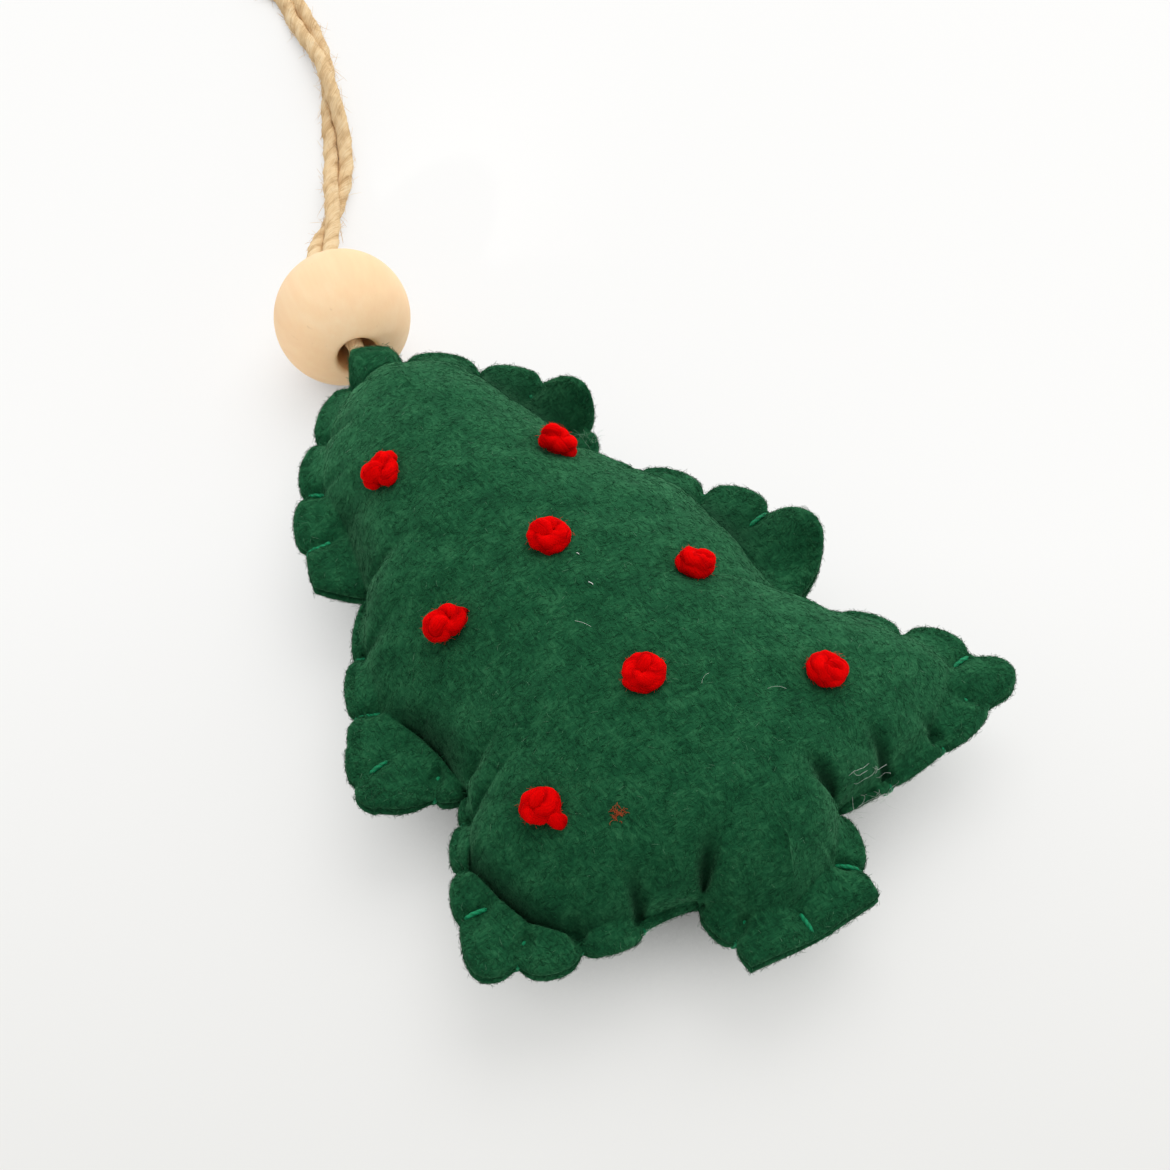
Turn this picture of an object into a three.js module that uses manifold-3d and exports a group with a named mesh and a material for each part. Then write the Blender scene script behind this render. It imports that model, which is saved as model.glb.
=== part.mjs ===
// A stuffed felt tree ornament lying on its back, with a wooden bead and a doubled twine hanger.
// Millimetres, +Z up out of the front felt, +Y along the tree towards its tip.
import * as THREE from 'three';
import * as BufferGeometryUtils from 'three/addons/utils/BufferGeometryUtils.js';
import Module from 'manifold-3d';

const wasm = await Module();
wasm.setup();

// Driving dimensions
const TREE = { width: 75.4, height: 102 }; // the paper pattern, point to point and tip to foot
const FELT = 1.2; // thickness of each felt
const GAP = 0.3; // between pieces that touch
const SEAM_Z = 11; // height of the seam above the table
const FRONT_LOFT = 12.2; // how far the front felt swells above the seam
const BACK_LOFT = 12.4; // how far the back felt swells below it, before the table flattens it
const INSET = 3; // from a stitch's notch in the edge to its hole
const SCALLOP = 0.21; // swell of the edge between two stitches, as a share of their distance
const THREAD = 0.7; // diameter of the sewing thread
const HOLE = 1.2; // side of a stitch hole
const SPINE = { x: 0.0106, top: -0.1275, bottom: -0.9118 }; // where the stuffing is highest, in the same shares
const YARN = 1.4; // diameter of the knots' red yarn
const YARN_GAP = 0.5; // between one wind of a knot and the next
const KNOT_TURNS = 1.15; // winds of each knot round its own stem
const TWINE = 2; // diameter of one strand of the hanger
const PAIR = 1.2; // each strand's distance from the middle of the doubled twine
const BREAK = 0.45; // from the pivot to the twine on either side of it, so that the hanger can swing
const TAIL = 14; // twine sewn in past the seam
const BEAD = { diameter: 18, bore: 5.4, lip: 0.5 };
const BEAD_TILT = 8; // degrees that the bead's bore falls towards the table
const BEAD_TURN = 15.8; // degrees that it points to the right of the tree's middle line
const TIP = { x: 1.3, y: 0.2, half: 1.5 }; // top of the tip's scallop, and half its width

// The paper pattern, in shares of the tree's width and height from the tip: its corners from the left of the
// tip, down the left side, round the trunk and up the right. Each has the bow of the edge that leads to it,
// and that edge's stitches: count, and where the first and last fall as shares of the edge. A sewn corner is
// an inner one, with a stitch of its own.
const PATTERN = [
  { at: [-0.0345, -0.0275], bow: 0, stitches: [0, 0, 0], sewn: true },
  { at: [-0.3024, -0.2775], bow: 3, stitches: [3, 0.3, 0.84], sewn: false },
  { at: [-0.244, -0.3275], bow: 0, stitches: [0, 0, 0], sewn: true },
  { at: [-0.4377, -0.5882], bow: 2.2, stitches: [3, 0.3, 0.86], sewn: false },
  { at: [-0.3156, -0.6324], bow: 0, stitches: [1, 0.64, 0.64], sewn: true },
  { at: [-0.4721, -0.8314], bow: 1.4, stitches: [3, 0.16, 0.71], sewn: false },
  { at: [-0.1313, -0.9], bow: 1.2, stitches: [3, 0.18, 0.74], sewn: true },
  { at: [-0.1273, -0.9922], bow: -0.4, stitches: [1, 0.64, 0.64], sewn: false },
  { at: [0.1034, -0.998], bow: 0.5, stitches: [1, 0.48, 0.48], sewn: false },
  { at: [0.1406, -0.8882], bow: -0.6, stitches: [1, 0.33, 0.33], sewn: true },
  { at: [0.5279, -0.8471], bow: 2, stitches: [3, 0.24, 0.8], sewn: false },
  { at: [0.3143, -0.6176], bow: 0.6, stitches: [3, 0.2, 0.81], sewn: true },
  { at: [0.4443, -0.5637], bow: 0, stitches: [0, 0, 0], sewn: false },
  { at: [0.2162, -0.3039], bow: 1.2, stitches: [3, 0.25, 0.82], sewn: true },
  { at: [0.2944, -0.2127], bow: 0, stitches: [1, 0.48, 0.48], sewn: false },
  { at: [0.0716, -0.0314], bow: 1, stitches: [2, 0.25, 0.6], sewn: true },
];

// Where the two upper flaps on the right curl up: middle in shares of the tree, height and spread.
const CURLS = [
  { at: [0.2918, -0.2157], up: 2.4, spread: 5 },
  { at: [0.4377, -0.549], up: 2.4, spread: 6 },
];

// The eight knots on the front, in shares of the tree.
const KNOTS = [
  [-0.1273, -0.2402],
  [0.122, -0.3225],
  [-0.008, -0.4608],
  [0.1592, -0.5755],
  [-0.2056, -0.4784],
  [-0.0371, -0.6814],
  [0.2162, -0.7755],
  [-0.2653, -0.7363],
];

// Middle of the doubled twine past the bead, as it lies on the table, and how far the pair has twisted (degrees).
const TWINE_ROUTE = [
  [10.6, 26.4, 5.2, 20],
  [13.4, 29.9, 3.7, 60],
  [16.4, 33.9, 2.9, 100],
  [19.4, 38.1, 2.3, 150],
  [22.2, 42.5, 1.5, 180],
  [24.6, 47.1, 1.6, 200],
  [26.6, 51.6, 2, 235],
  [28.7, 56.2, 2.2, 270],
  [30.6, 61.1, 2, 300],
  [31.9, 66.4, 1.6, 335],
  [32.9, 71.6, 1.2, 360],
  [33.9, 76.8, 1.2, 360],
];
// The loop's end, past the pair's last point, from its left strand round to its right one.
const TWINE_END = [
  [31.9, 82.4, 1.2],
  [31.4, 88, 1.2],
  [32.6, 93.2, 1.2],
  [36.4, 96, 1.2],
  [40, 93.4, 1.2],
  [40.6, 88, 1.2],
  [38, 82.4, 1.2],
];

const rad = THREE.MathUtils.degToRad;
const v2 = (x, y) => new THREE.Vector2(x, y);
const v3 = (x, y, z) => new THREE.Vector3(x, y, z);
const onTree = ([x, y]) => v2(x * TREE.width, y * TREE.height);
const outward = (a, b) => v2(b.y - a.y, a.x - b.x).normalize();

// Every notch that a stitch pulls into the edge, with the pattern's corner that lies between it and the next.
function findNotches() {
  const notches = [];
  PATTERN.forEach((corner, k) => {
    const from = onTree(PATTERN[(k + PATTERN.length - 1) % PATTERN.length].at);
    const to = onTree(corner.at);
    const [count, first, last] = corner.stitches;
    for (let i = 0; i < count; i += 1) {
      const s = count > 1 ? first + ((last - first) * i) / (count - 1) : first;
      const push = outward(from, to).multiplyScalar(4 * corner.bow * s * (1 - s));
      notches.push({ at: from.clone().lerp(to, s).add(push), corner: null });
    }
    if (corner.sewn) notches.push({ at: to, corner: null });
    else notches[notches.length - 1].corner = to;
  });
  notches[notches.length - 1].corner = v2(TIP.x, TIP.y);
  return notches;
}

const notches = findNotches();
const STITCHES = notches.length;
const next = (i) => (i + 1) % STITCHES;

// Each stitch: its notch, the way out of the felt there, and its hole.
notches.forEach((notch, i) => {
  const before = notches[(i + STITCHES - 1) % STITCHES].at;
  const after = notches[next(i)].at;
  notch.out = outward(before, notch.at).add(outward(notch.at, after)).normalize();
  notch.along = v2(-notch.out.y, notch.out.x);
  notch.hole = notch.at.clone().addScaledVector(notch.out, -INSET);
});

// The scallop from notch i to the next: a curve that swells past its chord, or through the pattern's corner.
notches.forEach((notch, i) => {
  const a = notch.at.clone().addScaledVector(notch.along, HOLE / 2);
  const b = notches[next(i)].at.clone().addScaledVector(notches[next(i)].along, -HOLE / 2);
  const middle = a.clone().lerp(b, 0.5);
  const peak = notch.corner ?? middle.clone().addScaledVector(outward(a, b), SCALLOP * a.distanceTo(b));
  notch.scallop = new THREE.QuadraticBezierCurve(a, peak.clone().multiplyScalar(2).sub(middle), b);
});

// Share of the way from tip to foot along each side, which sets the place on the spine that a stitch looks to.
const tipIndex = STITCHES - 1;
const footIndex = notches.reduce((low, notch, i) => (notch.at.y < notches[low].at.y ? i : low), 0);
const lengths = [0];
notches.forEach((notch, i) => lengths.push(lengths[i] + notch.hole.distanceTo(notches[next(i)].hole)));
function share(position) {
  const i = Math.floor(position);
  const s = lengths[i] + (position - i) * (lengths[i + 1] - lengths[i]);
  const foot = lengths[footIndex];
  const tip = (lengths[tipIndex] + lengths[tipIndex + 1]) / 2;
  if (s <= foot) return (s + lengths[STITCHES] - tip) / (foot + lengths[STITCHES] - tip);
  return Math.abs(tip - s) / (tip - foot);
}

const curl = (p) => CURLS.reduce(
  (z, c) => z + c.up * Math.exp(-(onTree(c.at).distanceToSquared(p)) / (2 * c.spread ** 2)), 0);

// Swell of a felt at a share t of the way in from the seam, for a place u along the spine.
const loftAt = (u, loft) => loft * (1 - 0.42 * (1 - u) ** 3 - 0.68 * u ** 5);
const rise = (t) => (1 - (1 - t) ** 2) ** 0.62;
const riseSlope = (t) => 1.24 * (1 - t) * (1 - (1 - t) ** 2) ** -0.38;

// A point of a felt's face: side is 1 for the front and -1 for the back, t is the share of the way in,
// and lift is the distance from the face that touches the stuffing.
function domePoint(foot, u, t, side, lift) {
  const spine = onTree([SPINE.x, THREE.MathUtils.lerp(SPINE.top, SPINE.bottom, u)]);
  const run = foot.distanceTo(spine);
  const loft = loftAt(u, side > 0 ? FRONT_LOFT : BACK_LOFT);
  const slope = Math.atan2(loft * riseSlope(t), run);
  const away = foot.clone().sub(spine).normalize();
  const plan = foot.clone().lerp(spine, t).addScaledVector(away, lift * Math.sin(slope));
  const height = GAP / 2 + loft * rise(t) + lift * Math.cos(slope);
  const bend = curl(plan) * (1 - t);
  const z = SEAM_Z + bend + side * height;
  return v3(plan.x, plan.y, side > 0 ? z : Math.max(z, FELT - lift));
}

const RINGS = [0.12, 0.36, 0.7, 0.92];

// The loops of one face of a felt, from its edge inwards. Four columns to a stitch: both sides of the hole and
// two on the scallop.
function faceLoops(side, lift) {
  const z = SEAM_Z + side * (GAP / 2 + lift);
  const edge = [];
  const outer = [];
  const inner = [];
  notches.forEach((notch, i) => {
    const after = notches[next(i)];
    const tip = i === tipIndex;
    const open = tip ? side * (PAIR + TWINE / 2 + GAP / 2) : 0;
    const w = HOLE / 2;
    [-w, w].forEach((s) => {
      const place = (p) => v3(p.x, p.y, z + curl(p));
      edge.push(place(notch.at.clone().addScaledVector(notch.along, s)));
      outer.push(place(notch.hole.clone().addScaledVector(notch.along, s).addScaledVector(notch.out, w)));
      inner.push(place(notch.hole.clone().addScaledVector(notch.along, s).addScaledVector(notch.out, -w)));
    });
    const a = notch.hole.clone().addScaledVector(notch.along, w);
    const b = after.hole.clone().addScaledVector(after.along, -w);
    (tip ? [0.2, 0.8] : [1 / 3, 2 / 3]).forEach((s) => {
      const p = a.clone().lerp(b, s);
      const out = notch.out.clone().lerp(after.out, s).normalize();
      const e = tip ? v2(TIP.x + TIP.half * (s < 0.5 ? 1 : -1), TIP.y) : notch.scallop.getPoint(s);
      edge.push(v3(e.x, e.y, z + curl(e) + open));
      outer.push(v3(p.x + out.x * w, p.y + out.y * w, z + curl(p) + open));
      inner.push(v3(p.x - out.x * w, p.y - out.y * w, z + curl(p) + open));
    });
  });
  return { edge, outer, inner, rings: ringLoops(side, lift) };
}

// The rings of the swell: two columns to a stitch, then one.
function ringLoops(side, lift) {
  return RINGS.map((t, k) => {
    const loop = [];
    notches.forEach((notch, i) => {
      const after = notches[next(i)];
      const foot = notch.hole.clone().addScaledVector(notch.out, -HOLE / 2);
      const footAfter = after.hole.clone().addScaledVector(after.out, -HOLE / 2);
      loop.push(domePoint(foot, share(i), t, side, lift));
      if (k < 2) loop.push(domePoint(foot.lerp(footAfter, 0.5), share(i + 0.5), t, side, lift));
    });
    return loop;
  });
}

// Triangles gathered face by face. A flip turns the face over.
class Skin {
  constructor() {
    this.positions = [];
  }

  triangle(a, b, c, flip = false) {
    (flip ? [a, c, b] : [a, b, c]).forEach((p) => this.positions.push(p.x, p.y, p.z));
  }

  quad(a, b, c, d, flip = false) {
    this.triangle(a, b, c, flip);
    this.triangle(a, c, d, flip);
  }

  // A band between two closed loops, the second with the same count of points or a whole fraction of it.
  band(outer, inner, flip, skip = () => false) {
    const ratio = outer.length / inner.length;
    inner.forEach((p, j) => {
      const q = inner[(j + 1) % inner.length];
      const first = Math.floor(ratio / 2);
      for (let k = 0; k < ratio; k += 1) {
        const i = j * ratio + k;
        const a = outer[i];
        const b = outer[(i + 1) % outer.length];
        if (ratio === 1 && !skip(i)) this.quad(a, b, q, p, flip);
        if (ratio > 1) {
          this.triangle(a, b, k < first ? p : q, flip);
          if (k === first) this.triangle(a, q, p, flip);
        }
      }
    });
  }

  // Fills a loop that is nearly flat in plan.
  cap(loop, flip) {
    const plan = loop.map((p) => v2(p.x, p.y));
    THREE.ShapeUtils.triangulateShape(plan, []).forEach(([a, b, c]) => {
      const turn = THREE.ShapeUtils.area([plan[a], plan[b], plan[c]]) < 0;
      this.triangle(loop[a], loop[b], loop[c], flip !== turn);
    });
  }

  // The rings of a swell, and the strip along the spine that closes them.
  dome(rings, flip) {
    rings.slice(1).forEach((ring, k) => this.band(rings[k], ring, flip));
    this.cap(rings[rings.length - 1], flip);
  }

  geometry() {
    const geometry = new THREE.BufferGeometry();
    geometry.setAttribute('position', new THREE.Float32BufferAttribute(this.positions, 3));
    return geometry;
  }
}

// One felt panel: its outer and inner faces, its cut edge, and the walls of its stitch holes.
function feltPanel(side) {
  const skin = new Skin();
  const far = faceLoops(side, FELT);
  const near = faceLoops(side, 0);
  const isHole = (i) => i % 4 === 0;
  [far, near].forEach((face) => {
    const flip = (side > 0) !== (face === far);
    skin.band(face.edge, face.outer, flip);
    skin.band(face.outer, face.inner, flip, isHole);
    skin.band(face.inner, face.rings[0], flip);
    skin.dome(face.rings, flip);
  });
  skin.band(far.edge, near.edge, side > 0);
  notches.forEach((_, k) => {
    const i = 4 * k;
    const top = [far.outer[i], far.outer[i + 1], far.inner[i + 1], far.inner[i]];
    const low = [near.outer[i], near.outer[i + 1], near.inner[i + 1], near.inner[i]];
    top.forEach((p, j) => {
      const n = (j + 1) % 4;
      skin.quad(p, top[n], low[n], low[j], side < 0);
    });
  });
  return skin.geometry();
}

// The stuffing: what the two felts hold, a gap inside them.
function stuffingForm() {
  const skin = new Skin();
  const top = ringLoops(1, -GAP);
  const low = ringLoops(-1, -GAP);
  [top, low].forEach((rings) => {
    const flip = rings === low;
    skin.dome(rings, flip);
  });
  skin.band(top[0], low[0], true);
  return skin.geometry();
}

// A curve that a sweep steps along point by point, so that every bend keeps its own ring.
class Route extends THREE.CatmullRomCurve3 {
  getPointAt(u, target) {
    return this.getPoint(u, target);
  }

  getTangentAt(u, target) {
    return this.getTangent(u, target);
  }
}

function tube(points, diameter, sides, stepsPerPoint = 1) {
  const section = new THREE.Shape();
  for (let k = 0; k < sides; k += 1) {
    const a = (2 * Math.PI * k) / sides;
    section[k ? 'lineTo' : 'moveTo']((Math.cos(a) * diameter) / 2, (Math.sin(a) * diameter) / 2);
  }
  section.closePath();
  const route = new Route(points);
  const steps = (points.length - 1) * stepsPerPoint;
  return new THREE.ExtrudeGeometry(section, { steps, bevelEnabled: false, extrudePath: route });
}

// The seam thread: up through each hole, out over the notch and along the back to the next hole.
function threadPoints() {
  const clear = GAP + THREAD / 2;
  const face = FELT + GAP / 2;
  const points = [];
  notches.forEach((notch, i) => {
    const at = (p, z) => v3(p.x, p.y, SEAM_Z + curl(p) + z);
    const offset = (p, d) => p.clone().addScaledVector(notch.out, d);
    points.push(at(notch.hole, -face), at(notch.hole, face));
    points.push(at(offset(notch.hole, 0.7), face + clear + 0.1), at(offset(notch.at, -0.2), face + clear + 0.1));
    points.push(at(offset(notch.at, 0.8), face), at(offset(notch.at, 0.8), -face));
    if (i === tipIndex) return;
    const goal = notches[next(i)].hole;
    const start = offset(notch.at, -0.2);
    const way = goal.clone().sub(start).normalize();
    points.push(at(start, -face - clear - 0.1));
    points.push(at(goal.clone().addScaledVector(way, -0.8), -face - clear - 0.1));
  });
  return points;
}

function toManifold(geometry) {
  const bare = new THREE.BufferGeometry();
  bare.setAttribute('position', geometry.getAttribute('position').clone());
  if (geometry.index) bare.setIndex(geometry.index.clone());
  const merged = BufferGeometryUtils.mergeVertices(bare, 1e-4);
  return new wasm.Manifold(new wasm.Mesh({
    numProp: 3,
    vertProperties: merged.getAttribute('position').array,
    triVerts: new Uint32Array(merged.index.array),
  }));
}

function fromManifold(solid) {
  const mesh = solid.getMesh();
  const geometry = new THREE.BufferGeometry();
  geometry.setAttribute('position', new THREE.BufferAttribute(new Float32Array(mesh.vertProperties), 3));
  geometry.setIndex(Array.from(mesh.triVerts));
  return geometry;
}

const material = (color, roughness) => new THREE.MeshStandardMaterial({ color, roughness, metalness: 0 });
const tree = new THREE.Group();
const hanger = new THREE.Group();

function add(group, name, geometry, look) {
  const mesh = new THREE.Mesh(geometry, look);
  mesh.name = name;
  group.add(mesh);
  return mesh;
}

// Each knot stands square to the felt, with its stem down a hole of its own.
const bareFront = new THREE.Mesh(feltPanel(1), material(0x1e5537, 0.95));
bareFront.geometry.computeVertexNormals();
const feltBelow = (x, y) => new THREE.Raycaster(v3(x, y, TREE.height), v3(0, 0, -1)).intersectObject(bareFront)[0].point;
const knotSeats = KNOTS.map((knot) => {
  const { x, y } = onTree(knot);
  const reach = YARN * 1.5 + YARN_GAP;
  const middle = feltBelow(x, y);
  const around = [];
  for (let k = 0; k < 12; k += 1) {
    const a = (Math.PI * k) / 6;
    around.push(feltBelow(x + reach * Math.cos(a), y + reach * Math.sin(a)).sub(middle));
  }
  const normal = v3(0, 0, 0);
  around.forEach((p, k) => normal.add(p.clone().cross(around[(k + 1) % 12])));
  normal.normalize();
  const high = Math.max(0, ...around.map((p) => p.dot(normal)));
  const turn = new THREE.Quaternion().setFromUnitVectors(v3(0, 0, 1), normal);
  return { at: middle, turn, high };
});

// A knot: the yarn comes up its stem, bends over and winds down round it.
function knotPoints(high) {
  const ring = YARN + YARN_GAP;
  const low = high + GAP + YARN / 2;
  const climb = (YARN + YARN_GAP) * KNOT_TURNS;
  const points = [v3(0, 0, -FELT), v3(0, 0, 0), v3(0, 0, low + climb * 0.5), v3(0.1, 0, low + climb * 0.9)];
  const turns = Math.round(KNOT_TURNS * 8);
  points.push(v3(ring * 0.5, 0, low + climb + YARN * 0.4));
  for (let k = 0; k <= turns; k += 1) {
    const a = (2 * Math.PI * k) / 8;
    points.push(v3(ring * Math.cos(a), ring * Math.sin(a), low + climb * (1 - k / turns)));
  }
  return points;
}

let front = toManifold(bareFront.geometry);
knotSeats.forEach(({ at, turn }) => {
  const drill = new THREE.CylinderGeometry(YARN / 2 + GAP, YARN / 2 + GAP, 4 * FELT, 6);
  drill.rotateX(Math.PI / 2);
  drill.applyQuaternion(turn);
  drill.translate(at.x, at.y, at.z);
  front = front.subtract(toManifold(drill));
});
add(tree, 'front_felt', fromManifold(front), material(0x1e5537, 0.95));
add(tree, 'back_felt', feltPanel(-1), material(0x1c5034, 0.95));

// Both twine tails lie between the felts, so the stuffing leaves a channel for them.
const bore = v3(
  Math.sin(rad(BEAD_TURN)) * Math.cos(rad(BEAD_TILT)),
  Math.cos(rad(BEAD_TURN)) * Math.cos(rad(BEAD_TILT)),
  -Math.sin(rad(BEAD_TILT)));
const pivot = v3((notches[0].hole.x + notches[tipIndex].hole.x) / 2, TIP.y + GAP + 0.25, SEAM_Z);
const channel = new THREE.BoxGeometry(TWINE + 2 * GAP, 2 * TAIL, 2 * PAIR + TWINE + 2 * GAP);
channel.translate(pivot.x, pivot.y - BREAK, pivot.z);
const stuffing = toManifold(stuffingForm()).subtract(toManifold(channel));
add(tree, 'stuffing', fromManifold(stuffing), material(0xf2efe8, 1));
add(tree, 'seam_thread', tube(threadPoints(), THREAD, 5), material(0x00734b, 0.6));

knotSeats.forEach(({ at, turn, high }, k) => {
  const knot = add(tree, `knot_${k + 1}`, tube(knotPoints(high), YARN, 6), material(0xd8100f, 0.8));
  knot.position.copy(at);
  knot.quaternion.copy(turn).multiply(new THREE.Quaternion().setFromAxisAngle(v3(0, 0, 1), 1.3 * k));
});

// The hanger: two tails inside the seam, then one unbroken loop from the pivot out through the bead and back.
const jute = material(0xd2b083, 0.95);
[-1, 1].forEach((side, k) => {
  const z = pivot.z + side * PAIR;
  const points = [1, 0.66, 0.33, 0].map((s) => v3(pivot.x, pivot.y - BREAK - s * (TAIL - BREAK), z));
  add(hanger, `twine_tail_${k + 1}`, tube(points, TWINE, 8), jute.clone());
});

// The pair leaves the seam one strand above the other, and turns level on its way through the bead.
function strand(side) {
  const middle = [BREAK, 7, 14, 20.5].map((d) => pivot.clone().addScaledVector(bore, d));
  const route = [...middle, ...TWINE_ROUTE.map(([x, y, z]) => v3(x, y, z))];
  return route.map((p, i) => {
    const way = route[Math.min(i + 1, route.length - 1)].clone().sub(route[Math.max(i - 1, 0)]);
    const right = v3(way.y, -way.x, 0).normalize();
    const twist = rad(i < middle.length ? 30 * i - 90 : TWINE_ROUTE[i - middle.length][3]);
    return p.clone().addScaledVector(right, side * PAIR * Math.cos(twist)).add(
      v3(0, 0, side * PAIR * Math.sin(twist)));
  });
}
const loop = [...strand(-1), ...TWINE_END.map((p) => v3(...p)), ...strand(1).reverse()];
add(hanger, 'twine_loop', tube(loop, TWINE, 8), jute.clone());

// The bead: a turned ball with a straight bore and eased mouths.
function beadProfile() {
  const r = BEAD.diameter / 2;
  const b = BEAD.bore / 2;
  const start = Math.asin((b + BEAD.lip) / r);
  const profile = [];
  for (let k = 0; k <= 14; k += 1) {
    const a = start + ((Math.PI - 2 * start) * k) / 14;
    profile.push(v2(r * Math.sin(a), -r * Math.cos(a)));
  }
  const mouth = r * Math.cos(start) - BEAD.lip;
  profile.push(v2(b, mouth), v2(b, -mouth), profile[0].clone());
  return profile;
}
const bead = add(hanger, 'wooden_bead', new THREE.LatheGeometry(beadProfile(), 32), material(0xf2d2a2, 0.45));
bead.quaternion.setFromUnitVectors(v3(0, 1, 0), bore);
bead.position.copy(pivot).addScaledVector(bore, BEAD.diameter / 2 + 0.35);

// Least gap of a wound or doubled yarn to itself, on points along it.
function leastGap(points, diameter, apart) {
  const spots = new Route(points).getPoints(points.length * 4);
  let least = Infinity;
  spots.forEach((p, i) => spots.slice(i + 1).forEach((q, j) => {
    const between = (j + 1) * p.distanceTo(spots[Math.min(i + 1, spots.length - 1)]);
    if (between > apart) least = Math.min(least, p.distanceTo(q) - diameter);
  }));
  return least;
}
console.log('knot, least gap to itself:', leastGap(knotPoints(0), YARN, 4 * YARN).toFixed(2));
console.log('twine, least gap to itself:', leastGap(loop, TWINE, 5 * TWINE).toFixed(2));

// The origin is the middle of the base, under the felts and the bead.
const object = new THREE.Group();
object.add(tree, hanger);
const box = new THREE.Box3().setFromObject(tree, true).union(new THREE.Box3().setFromObject(bead, true));
const centre = box.getCenter(v3(0, 0, 0));
object.position.set(-centre.x, -centre.y, -box.min.z);
object.updateMatrixWorld(true);
console.log('tip to origin:', (-centre.x).toFixed(3), (-centre.y).toFixed(3), (-box.min.z).toFixed(3));
console.log('pivot:', pivot.toArray().map((n) => n.toFixed(3)).join(' '));

export default object;
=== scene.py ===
"""A stuffed felt tree ornament on a pale table: two felts sewn over their stuffing, whip
stitches, wound yarn knots, a turned bead and a doubled twine loop. Shapes are worked out in
millimetres from the tree's tip and moved into the shared frame, in metres, as each mesh is
made."""

import bpy
import numpy as np
from mathutils import Matrix


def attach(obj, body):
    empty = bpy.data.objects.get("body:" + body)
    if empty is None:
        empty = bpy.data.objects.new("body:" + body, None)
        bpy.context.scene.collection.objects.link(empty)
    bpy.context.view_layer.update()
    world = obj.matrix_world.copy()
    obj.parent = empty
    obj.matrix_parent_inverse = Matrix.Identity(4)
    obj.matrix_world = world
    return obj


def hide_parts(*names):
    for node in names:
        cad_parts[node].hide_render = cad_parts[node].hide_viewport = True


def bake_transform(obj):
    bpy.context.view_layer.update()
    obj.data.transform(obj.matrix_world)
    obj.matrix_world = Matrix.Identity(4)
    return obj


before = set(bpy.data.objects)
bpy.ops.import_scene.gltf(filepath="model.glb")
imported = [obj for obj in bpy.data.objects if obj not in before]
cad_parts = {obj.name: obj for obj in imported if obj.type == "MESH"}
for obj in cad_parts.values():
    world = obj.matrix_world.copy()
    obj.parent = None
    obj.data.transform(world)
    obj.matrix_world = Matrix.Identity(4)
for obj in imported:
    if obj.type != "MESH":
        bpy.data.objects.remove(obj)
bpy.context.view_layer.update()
rng = np.random.default_rng(2412)

# Sizes shared with the part, in millimetres
TO_ORIGIN = np.array([-2.114, 42.213, 0.0])
TREE = np.array([75.4, 102.0])
FELT = 1.2
SEAM_Z = 11.0
FRONT_LOFT = 12.2
BACK_LOFT = 12.4
INSET = 3.0
SPINE_X = 0.0106
SPINE_TOP = -0.1275
SPINE_BOTTOM = -0.9118
TWINE = 2.0
PAIR = 1.2
PAIR_DRAWN = 1.02
TAIL = 14.0
BREAK = 0.45
BEAD_RADIUS = 9.0
BORE_RADIUS = 2.7
BEAD_LIP = 0.5
BEAD_TILT = np.radians(8)
BEAD_TURN = np.radians(15.8)
TIP_CORNERS = np.array([(4.6, -2.4), (-0.7, 0.4)])

# Corners of the paper pattern in shares of the tree, the bow of the edge that leads to each,
# that edge's stitches (count, first, last), whether the corner is sewn, and how sharply it is
# cut.
PATTERN = [
    ((-0.0345, -0.0275), 0.0, (0, 0, 0), True, 0),
    ((-0.3024, -0.2775), 3.0, (3, 0.3, 0.84), False, 0.75),
    ((-0.244, -0.3275), 0.0, (0, 0, 0), True, 0),
    ((-0.4377, -0.5882), 2.2, (3, 0.3, 0.86), False, 0.1),
    ((-0.3156, -0.6324), 0.0, (1, 0.64, 0.64), True, 0),
    ((-0.4721, -0.8314), 1.4, (3, 0.16, 0.71), False, 0.1),
    ((-0.1313, -0.9), 1.2, (3, 0.18, 0.74), True, 0),
    ((-0.1273, -0.9922), -0.4, (1, 0.64, 0.64), False, 0.85),
    ((0.1034, -0.998), 0.5, (1, 0.48, 0.48), False, 0.85),
    ((0.1406, -0.8882), -0.6, (1, 0.33, 0.33), True, 0),
    ((0.5337, -0.8406), 2.0, (3, 0.24, 0.8), False, 0.1),
    ((0.3143, -0.6176), 0.6, (3, 0.2, 0.81), True, 0),
    ((0.4443, -0.5637), 0.0, (0, 0, 0), False, 0.1),
    ((0.2162, -0.3039), 1.2, (3, 0.25, 0.82), True, 0),
    ((0.2944, -0.2127), 0.0, (1, 0.48, 0.48), False, 0.1),
    ((0.0716, -0.0314), 1.0, (2, 0.25, 0.6), True, 0),
]
# Middle in shares of the tree, rise and spread of the two flaps that curl up, and the way they
# are drawn in
CURLS = [((0.31, -0.205), 4.8, 4.0, (-0.84, -0.54)), ((0.455, -0.545), 4.6, 4.5, (-0.95, -0.3))]
KNOTS = [
    (-0.1273, -0.2402), (0.122, -0.3225), (-0.008, -0.4608), (0.1592, -0.5755),
    (-0.2056, -0.4784), (-0.0371, -0.6814), (0.2162, -0.7755), (-0.2653, -0.7363),
]
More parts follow.
